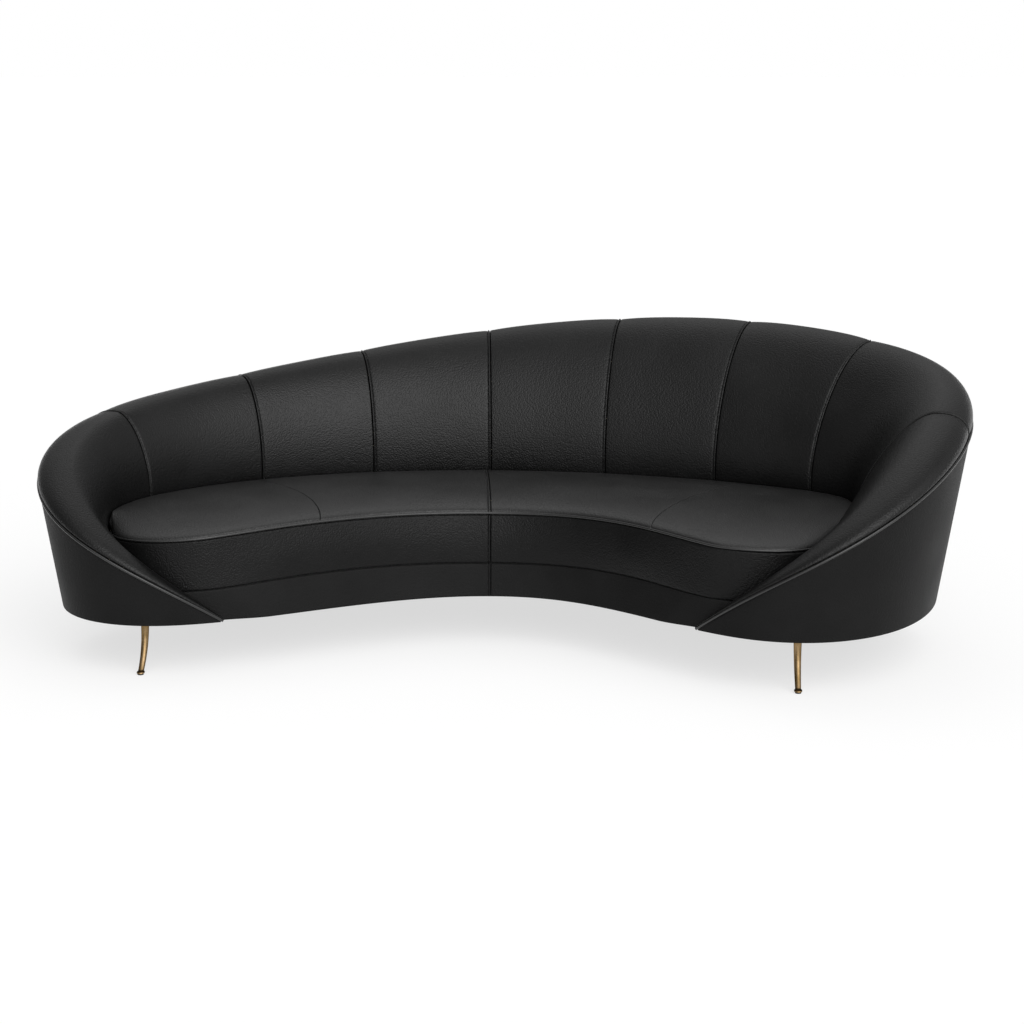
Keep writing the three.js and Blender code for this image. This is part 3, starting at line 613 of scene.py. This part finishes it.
def cord_mesh(name, path, share, radius, material, sides=14):
    """A cord wrapped in leather: a tube along a path beside the outline, with its ends closed."""
    _, out = frame_at(share)
    side = np.concatenate([out, np.zeros((len(path), 1))], axis=1)
    along = np.gradient(path, axis=0)
    along /= np.linalg.norm(along, axis=1, keepdims=True)
    up = np.cross(along, side)
    up /= np.linalg.norm(up, axis=1, keepdims=True)
    angles = np.linspace(0, 2 * math.pi, sides + 1)
    ring = np.cos(angles)[None, :, None] * side[:, None] + np.sin(angles)[None, :, None] * up[:, None]
    points = path[:, None] + radius * ring
    bm = bmesh.new()
    sheet_grid(bm, points)
    bmesh.ops.remove_doubles(bm, verts=bm.verts, dist=1e-6)
    bmesh.ops.holes_fill(bm, edges=bm.edges, sides=0)
    return finish_mesh(name, bm, material)


# The strip is pulled tight over its cord, which smooths its grain and makes it shine
piping_leather = leather("tight_piping_leather", "#141414", "#101010", 0.24, 0.72, 0.0003, 0.0003)
v = np.linspace(0, 1, 601)
path = place_at(run_share(v), outer_at(piping_height(v)), piping_height(v))
piping = cord_mesh("piping", path, run_share(v), piping_radius / 1000, piping_leather)
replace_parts(piping, "back_piping")


# Seat front.
# The boxing is a band of leather over soft foam between the welt and a sewn groove, and a second,
# flatter band covers the front rail below it. Both have one seam in the middle.

groove_height = 254.0
seat_edge_setback = 32.0
groove_setback = 20.0
boxing_bulge = 9.0
boxing_thickness = 6.0
seat_side_gap = 4.0
seat_crown = 36.0
seam_allowance = 2.0
seat_left_share = 0.115
seat_right_share = 0.845
edge_rise_shares = [-0.062, -0.058, 0.020, 0.022, -0.014, 0.034, -0.028, -0.046, -0.054]
bow_end_share = 0.04
arm_entry_share = 0.02
setback_blend = 8.0
end_blend = 0.03
rail_cover_reach_share = 0.035
left_end = run_share(seat_left_share)
right_end = run_share(seat_right_share)
front_span = 1 - (right_end - left_end)
centre_seam = 0.482
band_step = 9
band_rim = 9
band_lap_share = 0.8
least_band = 0.2
rail_row_step = 9
rail_turns = (2.5, 5.7)
boxing_row_step = 6
boxing_turns = (5.4, 4.0)
# Legs rub the front band, whose grain and ripples show under its thin finish
front_leather = leather("edge_band_leather", "#141414", "#0F0F0F", 0.34, 0.18, 0.0016, 0.0013)

reach_v = np.linspace(0, 1, 401)
low_lines = face_lines(reach_v, np.linspace(0, 1, 5), np.linspace(0, 1, 29))
low_enough = low_lines[..., 1] < seat_edge_height + seat_crown
back_reach = np.where(low_enough, -low_lines[..., 0], -1e3).max(axis=1) + panel_lift(reach_v)
inner_lines = [line[line[:, 1].argmax():][::-1] for line in low_lines]
level_heights = np.linspace(body_clearance, seat_edge_height, 13)
level_reach = np.array([
    [-np.interp(height, line[:, 1], line[:, 0]) for line in inner_lines] for height in level_heights
]) + panel_lift(reach_v)


def smooth_step(x, low, high):
    """Rises smoothly from 0 at low to 1 at high."""
    t = np.clip((x - low) / (high - low), 0, 1)
    return t * t * (3 - 2 * t)


def past_tip(share):
    """How far along the front a place lies from the nearer arm's tip; none beside the arms."""
    u = np.mod(share, 1)
    beside = (u > left_tip_share) & (u < right_tip_share)
    nearer = np.minimum(np.mod(left_tip_share - u, 1), np.mod(u - right_tip_share, 1))
    return np.where(beside, 0, nearer)


def reach_at(v, height):
    """How far in the back's face lies at a height, by its share of the run."""
    across = v * (len(reach_v) - 1)
    up = (height - level_heights[0]) / (level_heights[1] - level_heights[0])
    i = np.clip(across.astype(int), 0, len(reach_v) - 2)
    j = np.clip(up.astype(int), 0, len(level_heights) - 2)
    a, b = np.clip(across - i, 0, 1), np.clip(up - j, 0, 1)
    low = level_reach[j, i] * (1 - a) + level_reach[j, i + 1] * a
    high = level_reach[j + 1, i] * (1 - a) + level_reach[j + 1, i + 1] * a
    return low * (1 - b) + high * b


def seat_setback(share, height):
    """How far the seat's side is set in from the outline at a height."""
    share, height = np.broadcast_arrays(share, np.asarray(height, float))
    from_tip = (height - body_clearance) / (groove_height - body_clearance)
    to_edge = np.minimum((height - groove_height) / (seat_edge_height - groove_height), 1)
    lean = np.where(height < groove_height, groove_setback * from_tip,
                    groove_setback + (seat_edge_setback - groove_setback) * to_edge)
    u = np.mod(share, 1)
    front_middle = (1 + left_tip_share + right_tip_share) / 2
    v = np.clip((u - left_tip_share) / (right_tip_share - left_tip_share), 0, 1)
    v = np.where(u > front_middle, 0, v)
    beside_arm = 1 - smooth_step(past_tip(u), 0, arm_entry_share)
    reach = np.interp(v, reach_v, back_reach)
    near_end = smooth_step(v, seat_left_share - end_blend, seat_left_share)
    near_end = near_end * (1 - smooth_step(v, seat_right_share, seat_right_share + end_blend))
    reach = reach + near_end * (reach_at(v, height) - reach)
    beside = (reach + seat_side_gap) * beside_arm
    return 0.5 * (lean + beside + np.hypot(lean - beside, setback_blend * beside_arm ** 0.5))


def front_path(s):
    """The outline's share at a share of the seat's front, from its left end."""
    return left_end - s * front_span


def rear_path(s):
    """The outline's share at a share of the seat's rear, from its left end."""
    return left_end + s * (right_end - left_end)


def edge_rise(s):
    """How far the seat's front edge runs above its even height."""
    return seat_edge_height * blend_shares(edge_rise_shares, s)


def edge_point(s, height, inward):
    """A point on the seat's front: along the front path, at a height and a distance in."""
    s, height, inward = np.broadcast_arrays(np.asarray(s, float), height, inward)
    share = front_path(s)
    above = np.clip((height - body_clearance) / (groove_height - body_clearance), 0, 1)
    return place_at(share, -seat_setback(share, height) - inward, height + above * edge_rise(s))


def turned_edge(distance, depth):
    """Height of a band's edge, which is turned in to meet the next band or the cord."""
    return depth * np.interp(distance, [0, 0.3, 0.7, 1.2, 1.8, 2.8, 4.5, 7],
                             [-1, -0.95, -0.82, -0.62, -0.42, -0.18, -0.05, 0])


def band_rows(low, high, step):
    """Rows up a band, close together at its turned-in edges."""
    near = np.array([0, 0.3, 0.7, 1.2, 1.8, 2.8, 4.5, band_rim])
    count = int((high - low - 2 * band_rim) / step)
    middle = np.linspace(low + band_rim, high - band_rim, count)[1:-1]
    return np.concatenate([low + near, middle, high - near[::-1]])


def front_band(name, start, end, low, high, step, depths, bulge, seam_at, node):
    """One half of a front band, whose lower layer runs on under the other at the seam and the groove."""
    length = (end - start) * front_span * outline_length
    distance = steps_between(length, seam_at == "start", seam_at == "end", band_step)
    if seam_at == "start":
        distance = np.concatenate([[-seam_allowance], distance])
    s = start + distance / (front_span * outline_length)
    rows = band_rows(low, high, step)
    if high == groove_height:
        rows = np.concatenate([rows, [high + seam_allowance]])
    bow = smooth_step(past_tip(front_path(s)), 0, bow_end_share)
    t = np.clip((rows - low) / (high - low), 0, 1)
    inward = -bulge * np.sin(np.pi * t)[None, :] * bow[:, None]
    base = edge_point(s[:, None], rows[None, :], inward)
    normal = grid_normals(base)
    normal *= np.sign(np.mean(normal[:, len(rows) // 2, 1] * -1))
    tuck = turned_edge(rows - low, depths[0]) + turned_edge(high - rows, depths[1])
    from_start, from_end = lengths_across(base)
    lap = lapped_edge(from_end) if seam_at == "end" else butted_edge(from_start - seam_allowance)
    inside = (rows > low) & (rows < high)
    rise = tuck[None, :] + band_lap_share * lap * inside[None, :]
    rise = np.maximum(rise, least_band - boxing_thickness)
    face = base + normal * (rise[..., None] / 1000)
    back = base - normal * (boxing_thickness / 1000)
    piece = sewn_pad(name, face, back, front_leather if bulge else outside_leather)
    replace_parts(piece, node)
    if seam_at == "end":
        stitch_lines[name] = [along_seam(values, from_end, stitch_line) for values in (face, normal)]
    return piece


rail_start = (left_end - run_share(rail_cover_reach_share)) / front_span
rail_end = 1 - (run_share(1 - rail_cover_reach_share) - right_end) / front_span
boxing_top = seat_edge_height - piping_radius - layer_gap
halves = [("left", rail_start, centre_seam, "end"), ("right", centre_seam, rail_end, "start")]
for side, rail_from, rail_to, seam_at in halves:
    front_band(f"rail_leather_{side}", rail_from, rail_to, body_clearance, groove_height, rail_row_step,
               rail_turns, 0, seam_at, f"front_rail_cover_{side}")
    boxing_from, boxing_to = (0, rail_to) if side == "left" else (rail_from, 1)
    boxing = front_band(f"boxing_leather_{side}", boxing_from, boxing_to, groove_height, boxing_top,
                        boxing_row_step, boxing_turns, boxing_bulge, seam_at, f"seat_boxing_{side}")


# Welt.
# The same leather-wrapped cord is sewn along the seat's front edge, between boxing and seat.

welt_radius = 3.9
welt_drop = 0.6
welt_end_share = 0.008
s = np.linspace(welt_end_share, 1 - welt_end_share, 521)
path = edge_point(s, seat_edge_height - welt_drop, welt_radius)
welt = cord_mesh("welt", path, front_path(s), welt_radius / 1000, piping_leather)
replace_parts(welt, "seat_welt")


# Seat.
# Four pieces of leather sewn edge to edge are pulled over a crowned foam deck, and tucked down
# behind the welt in front and against the back behind.

seam_front_shares = [0, 0.312, centre_seam, 0.654, 1]
seam_rear_shares = [0, 0.229, 0.4575, 0.715, 1]
seam_curve_powers = [1.45, 1.45, 1.0, 1.45, 1.45]
seat_end_share = 0.002
crown_across_power = 0.42
crown_along_power = 0.3
cover_inward = 2 * piping_radius + 5 * layer_gap
rear_gap = 3.0
end_fill = 8.0
end_fill_shares = (0.002, 0.014)
seat_pad_thickness = 10.0
deck_rows = 56
deck_row = 28
seat_step = 12
end_drop = 17.0
end_drop_share = 0.03


def plain_edge(distance):
    """Height beside a plain seam, whose edges are turned down together."""
    return np.interp(distance, [0, 0.4, 0.9, 1.6, 3.2, 6, 12], [-5, -2.4, -1.1, -0.5, -0.15, -0.05, 0])


def seat_point(s, e, fall=0.0, under=0.0):
    """A point across the seat: s from the left end to the right, e from the front edge to the rear."""
    across = np.maximum(4 * e * (1 - e), 0) ** crown_across_power
    along = np.maximum(4 * s * (1 - s), 0) ** crown_along_power
    rear_rise = seat_edge_lift - end_drop * (1 - smooth_step(np.minimum(s, 1 - s), 0, end_drop_share))
    height = seat_edge_height + edge_rise(s) * (1 - e) + rear_rise * e + seat_crown * across * along
    beside_end = 1 - smooth_step(np.minimum(s, 1 - s), *end_fill_shares)
    front = edge_point(s, seat_edge_height, cover_inward - end_fill * beside_end - under)
    rear_share = rear_path(s)
    rear_v = (rear_share - left_tip_share) / (right_tip_share - left_tip_share)
    rear = place_at(rear_share, -np.interp(rear_v, reach_v, level_reach[-1]) - rear_gap, height)
    point = front + (rear - front) * e[..., None]
    point[..., 2] = (height - fall) / 1000
    return point


row_steps = (1 - np.cos(np.pi * np.linspace(0, 1, deck_rows))) / 2
row_shares = np.concatenate([[0, 0], row_steps, [1, 1]])
row_falls = np.concatenate([[10, 4], np.zeros(deck_rows), [5, 14]])
row_unders = np.concatenate([[4.5, 0.5], np.zeros(deck_rows + 2)])
# Polished by use, the seat has a soft shine along its crown. Its leather is painted a paler black than the
# back's: painted light standing in for the light that falls on the upward-facing seat
polished_seat_leather_painted_light = leather("polished_seat_aniline_leather_painted_light", "#242424", "#1E1E1E", 0.36, 0.46, 0.0012, 0.0012)
for k in range(4):
    length = (seam_front_shares[k + 1] - seam_front_shares[k]) * front_span * outline_length
    distance = steps_between(length, k > 0, k < 3, seat_step)
    c = distance / length
    front = seam_front_shares[k] + c * (seam_front_shares[k + 1] - seam_front_shares[k])
    rear = seam_rear_shares[k] + c * (seam_rear_shares[k + 1] - seam_rear_shares[k])
    e = np.broadcast_to(row_shares[None, :], (len(c), len(row_shares)))
    power = seam_curve_powers[k] + c * (seam_curve_powers[k + 1] - seam_curve_powers[k])
    s = front[:, None] + (rear - front)[:, None] * e ** power[:, None]
    s = np.clip(s, seat_end_share, 1 - seat_end_share)
    base = seat_point(s, e, row_falls[None, :], row_unders[None, :])
    normal = grid_normals(base)
    normal *= np.sign(np.mean(normal[:, deck_row, 2]))
    from_start, from_end = lengths_across(base)
    lap = np.zeros(e.shape)
    if k > 0:
        lap += (butted_edge if k == 2 else plain_edge)(from_start)
    if k < 3:
        lap += (lapped_edge if k == 1 else plain_edge)(from_end)
    face = base + normal * (lap[..., None] / 1000)
    back = base - normal * (seat_pad_thickness / 1000)
    piece = sewn_pad(f"polished_seat_leather_painted_light_{k + 1}", face, back, polished_seat_leather_painted_light)
    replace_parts(piece, f"seat_cover_{k + 1}")
    if k == 1:
        stitch_lines["seat"] = [
            along_seam(values[:, 2:-2], from_end[:, 2:-2], stitch_line) for values in (face, normal)
        ]


# Foam.
# Blocks of cut polyurethane foam are glued over the frame, under the seat and the back. Their
# open pores give a pale, chalky surface, and none of it shows.

foam_material, tree, output, place = new_material("cut_polyurethane_foam")
pores = add_node(tree, "ShaderNodeTexVoronoi", {"Vector": place, "Scale": 1000 / 1.8})
ramp = add_node(tree, "ShaderNodeValToRGB", {"Fac": pores.outputs["Distance"]})
set_ramp(ramp, [(0.0, "#EDE5C8"), (0.8, "#CFC59F")])
add_surface(tree, output, {
    "Base Color": ramp.outputs["Color"], "Roughness": 0.95,
    "Normal": add_bump(tree, pores.outputs["Distance"], 0.6, 0.0005),
})
foam_under = 8.0
for name in ("back_foam_left", "back_foam_middle", "back_foam_right", "seat_foam"):
    bm = bmesh.new()
    bm.from_mesh(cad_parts[name].data)
    bmesh.ops.remove_doubles(bm, verts=bm.verts, dist=1e-6)
    bmesh.ops.subdivide_edges(bm, edges=bm.edges, cuts=1, use_grid_fill=True)
    bm.normal_update()
    for vertex in bm.verts:
        vertex.co -= vertex.normal * (foam_under / 1000)
    foam = finish_mesh(f"{name}_block", bm, foam_material)
    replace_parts(foam, name)


# Stitches.
# Bonded black polyester thread, about five stitches to the inch, holds each lapped seam down
# beside its fold.

# Twisted thread with a bonded coat: a fine rope pattern with a slight sheen. The black thread is painted a
# lighter grey, a painted sheen that lets the stitches show
thread, tree, output, place = new_material("bonded_polyester_thread")
twist = add_node(tree, "ShaderNodeTexWave", {"Vector": place, "Scale": 300.0, "Distortion": 2.0})
add_surface(tree, output, {
    "Base Color": linear("#2A2A2A"), "Roughness": 0.5, "Sheen Weight": 0.2,
    "Normal": add_bump(tree, twist.outputs["Fac"], 0.5, 0.0001),
})
stitch_pitch = 5.0
stitch_length = 3.6
stitch_width = 1.0
stitch_rise = 0.6

bm = bmesh.new()
bmesh.ops.create_uvsphere(bm, u_segments=6, v_segments=5, radius=1.0, matrix=(
    Matrix.Diagonal((stitch_length / 2000, stitch_width / 2000, stitch_width / 2000, 1))
    @ Matrix.Rotation(math.pi / 2, 4, "Y")
))
stitch = bpy.data.meshes.new("stitch")
bm.to_mesh(stitch)
bm.free()


def stitch_row(bm, line, normal):
    """Lays stitches end to end along a line on the leather."""
    run = np.concatenate([[0], np.cumsum(np.linalg.norm(np.diff(line, axis=0), axis=1))]) * 1000
    for at in np.arange(stitch_pitch, run[-1] - stitch_pitch, stitch_pitch):
        point, ahead, up = [
            Vector([float(np.interp(x, run, values[:, axis])) for axis in range(3)])
            for x, values in ((at, line), (at + 1, line), (at, normal))
        ]
        along = (ahead - point).normalized()
        up = (up - along * up.dot(along)).normalized()
        turn = Matrix((along, up.cross(along), up)).transposed().to_4x4()
        laid = Matrix.Translation(point + up * (stitch_rise / 1000)) @ turn
        stitch.transform(laid)
        bm.from_mesh(stitch)
        stitch.transform(laid.inverted())


for group in ("back", "seat", "boxing", "rail"):
    bm = bmesh.new()
    for key, (line, normal) in stitch_lines.items():
        if key.startswith(group):
            stitch_row(bm, line, normal)
    finish_mesh(f"{group}_stitches", bm, thread)


# Legs.
# Each sabre leg is turned and bent from solid brass, tapers to its ankle and ends in a small
# turned ring. A square plate is brazed on its top and screwed to the base board.

# Turned and rubbed down to a satin, then slightly tarnished: fine rings, and an uneven warm tone
brass, tree, output, place = new_material("satin_turned_brass")
turned = add_node(tree, "ShaderNodeMapping", {"Vector": place, "Scale": (1.0, 1.0, 40.0)})
lines = add_node(tree, "ShaderNodeTexNoise", {
    "Vector": turned.outputs[0], "Scale": 40.0, "Detail": 4.0, "Roughness": 0.7,
})
tarnish = add_node(tree, "ShaderNodeTexNoise", {"Vector": place, "Scale": 35.0, "Detail": 3.0})
ramp = add_node(tree, "ShaderNodeValToRGB", {"Fac": tarnish.outputs["Fac"]})
set_ramp(ramp, [(0.3, "#75603F"), (0.7, "#988060")])
satin = add_node(tree, "ShaderNodeMapRange", {"Value": lines.outputs["Fac"], "To Min": 0.2, "To Max": 0.36})
# The dark brown specular tint dims the glancing reflections at the legs' edges: painted shade along their
# outlines
add_surface(tree, output, {
    "Base Color": ramp.outputs["Color"], "Metallic": 1.0, "Roughness": satin.outputs[0],
    "Specular Tint": linear("#4A3826"), "Normal": add_bump(tree, lines.outputs["Fac"], 0.15, 0.0002),
})

leg_top_radius = 12.0
leg_ankle_radius = 8.5
leg_ring_radius = 11.5
leg_ring_height = 5.0
glide_thickness = 4.0
leg_plate_size = 76.0
leg_plate_thickness = 5.0
sabre_power = 2.4
leg_sides = 28
screw_inset = 11.0
screw_core_radius = 2.6
screw_head_radius = 4.0
screw_head_height = 1.2
screw_head_sunk = 0.4
ring_edge = 1.0
ring_fillet = 0.4
plate_edge = 0.8

for name in leg_names:
    share = leg_shares[name]
    top = place_at(share, -leg_top_setback, 0.0) * 1000
    foot = place_at(share, leg_splay - leg_top_setback, 0.0) * 1000
    plate_bottom = body_clearance - leg_plate_thickness
    ring_top = glide_thickness + leg_ring_height + ring_fillet
    heights = [(glide_thickness, leg_ring_radius - 1.2 * ring_edge),
               (glide_thickness + ring_edge, leg_ring_radius),
               (glide_thickness + leg_ring_height - ring_edge, leg_ring_radius),
               (glide_thickness + leg_ring_height, leg_ring_radius - ring_edge),
               (ring_top, leg_ankle_radius)]
    for t in np.linspace(0, 1, 25)[1:]:
        heights.append((ring_top + (plate_bottom - ring_top) * t,
                        leg_ankle_radius + (leg_top_radius - leg_ankle_radius) * t))
    bm = bmesh.new()
    ring = bmesh.ops.create_circle(bm, cap_ends=True, segments=leg_sides, radius=1.0)["verts"]
    edges = bm.edges[:]
    for i, (height, radius) in enumerate(heights):
        if i:
            extruded = bmesh.ops.extrude_edge_only(bm, edges=edges)["geom"]
            ring = [part for part in extruded if isinstance(part, bmesh.types.BMVert)]
            edges = [part for part in extruded if isinstance(part, bmesh.types.BMEdge)]
        bend = ((plate_bottom - height) / (plate_bottom - glide_thickness)) ** sabre_power
        middle = top + (foot - top) * bend
        centre = sum((vertex.co for vertex in ring), Vector()) / len(ring)
        for vertex in ring:
            way = vertex.co - centre
            way.z = 0
            vertex.co = Vector((middle[0], middle[1], height)) / 1000 + way.normalized() * radius / 1000
    plate = bmesh.ops.create_cube(bm, size=1.0, matrix=(
        Matrix.Translation((top[0] / 1000, top[1] / 1000, (plate_bottom + leg_plate_thickness / 2) / 1000))
        @ Matrix.Diagonal((leg_plate_size / 1000, leg_plate_size / 1000, leg_plate_thickness / 1000, 1))
    ))
    corners = set(plate["verts"])
    plate_edges = [edge for edge in bm.edges if edge.verts[0] in corners]
    bmesh.ops.bevel(bm, geom=plate_edges, offset=plate_edge / 1000, segments=2, profile=0.5, affect="EDGES",
                    material=-1)
    leg = finish_mesh(f"brass_leg_{name}", bm, brass)
    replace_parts(leg, f"leg_{name}")
    bm = bmesh.new()
    for x in (-1, 1):
        for y in (-1, 1):
            offset = leg_plate_size / 2 - screw_inset
            at = Vector((top[0] + x * offset, top[1] + y * offset, plate_bottom)) / 1000
            at.z -= screw_head_sunk / 1000
            bmesh.ops.create_cone(bm, cap_ends=True, segments=20, radius1=screw_core_radius / 1000,
                                  radius2=screw_head_radius / 1000, depth=screw_head_height / 1000,
                                  matrix=Matrix.Translation(at))
    finish_mesh(f"plate_screws_{name}", bm, brass)


# Studio.
# A pale floor runs out to the horizon in a dim white room, with broad soft lights round the front
# and one above the rear. The camera is at the height of a standing person. Sizes are in metres.

scene = bpy.context.scene
scene.view_settings.view_transform = "Standard"

floor_radius = 900.0
floor_glow = 1.1
floor_glow_share = 0.6
bm = bmesh.new()
bmesh.ops.create_circle(bm, cap_ends=True, segments=96, radius=floor_radius)
floor_mesh = bpy.data.meshes.new("floor")
bm.to_mesh(floor_mesh)
bm.free()
floor = bpy.data.objects.new("floor", floor_mesh)
scene.collection.objects.link(floor)
floor_paint, tree, output, place = new_material("pale_studio_floor")
rays = add_node(tree, "ShaderNodeLightPath")
seen = add_node(tree, "ShaderNodeMath", {
    0: rays.outputs["Is Camera Ray"], 1: rays.outputs["Is Glossy Ray"],
}, operation="MAXIMUM")
seen = add_node(tree, "ShaderNodeMath", {
    0: seen.outputs[0], 1: rays.outputs["Is Transmission Ray"],
}, operation="MAXIMUM")
bounce = add_node(tree, "ShaderNodeMix", {
    "Factor": seen.outputs[0], "A": linear("#A8A8A8"), "B": linear("#F4F4F4"),
}, data_type="RGBA")
matt = add_node(tree, "ShaderNodeBsdfDiffuse", {"Color": bounce.outputs["Result"]})
glow = add_node(tree, "ShaderNodeEmission", {"Color": linear("#FFFFFF"), "Strength": floor_glow})
share = add_node(tree, "ShaderNodeMath", {
    0: seen.outputs[0], 1: floor_glow_share,
}, operation="MULTIPLY")
mixed = add_node(tree, "ShaderNodeMixShader", {
    0: share.outputs[0], 1: matt.outputs[0], 2: glow.outputs[0],
})
tree.links.new(mixed.outputs[0], output.inputs["Surface"])
floor_mesh.materials.append(floor_paint)

# The room is dim, with broad soft lights round the front, one above the rear and a white backdrop.
# Each light has its way round from the front towards the right and up, in degrees, and its strength
room_level = 0.26
soft_lights = [(0, 12, 1.3), (28, 30, 3.5), (80, 25, 0.8), (0, 55, 0.8), (180, 62, 0.9)]
soft_light_spread = 0.10
world = bpy.data.worlds.new("studio")
scene.world = world
world.use_nodes = True
tree = world.node_tree
tree.nodes.clear()
way = add_node(tree, "ShaderNodeTexCoord").outputs["Generated"]
level = room_level
for around, up, strength in soft_lights:
    around, up = math.radians(around), math.radians(up)
    to_light = (math.sin(around) * math.cos(up), -math.cos(around) * math.cos(up), math.sin(up))
    facing = add_node(tree, "ShaderNodeVectorMath", {0: way, 1: to_light}, operation="DOT_PRODUCT")
    fall = add_node(tree, "ShaderNodeMapRange", {
        "Value": facing.outputs["Value"], "From Min": 1 - soft_light_spread, "From Max": 1.0,
        "To Min": -1.0, "To Max": 0.0,
    }, clamp=False)
    glow = add_node(tree, "ShaderNodeMath", {0: fall.outputs[0]}, operation="EXPONENT")
    level = add_node(tree, "ShaderNodeMath", {
        0: glow.outputs[0], 1: strength, 2: level,
    }, operation="MULTIPLY_ADD").outputs[0]
parts = add_node(tree, "ShaderNodeSeparateXYZ", {"Vector": way})
low_down = add_node(tree, "ShaderNodeMapRange", {
    "Value": parts.outputs["Z"], "From Min": 0.12, "From Max": 0.07,
})
behind = add_node(tree, "ShaderNodeMapRange", {
    "Value": parts.outputs["Y"], "From Min": 0.75, "From Max": 0.85,
})
backdrop = add_node(tree, "ShaderNodeMath", {
    0: low_down.outputs[0], 1: behind.outputs[0],
}, operation="MULTIPLY")
shade = add_node(tree, "ShaderNodeMix", {
    "Factor": backdrop.outputs[0], "A": level, "B": linear("#FFFFFF"),
}, data_type="RGBA")
background = add_node(tree, "ShaderNodeBackground", {"Color": shade.outputs["Result"], "Strength": 1.0})
output = add_node(tree, "ShaderNodeOutputWorld")
tree.links.new(background.outputs[0], output.inputs["Surface"])

camera_data = bpy.data.cameras.new("camera")
camera_data.lens = 76
camera_data.sensor_width = 36
camera = bpy.data.objects.new("camera", camera_data)
scene.collection.objects.link(camera)
aim_height = 0.415
centre = Vector((plan_shift[0] / 1000, plan_shift[1] / 1000, aim_height))
camera_distance = 6.4
camera_elevation = math.radians(11.5)
camera.location = centre + Vector((0, -camera_distance, camera_distance * math.tan(camera_elevation)))
camera.rotation_euler = (centre - camera.location).to_track_quat("-Z", "Y").to_euler()
camera_data.clip_end = 2000
scene.camera = camera
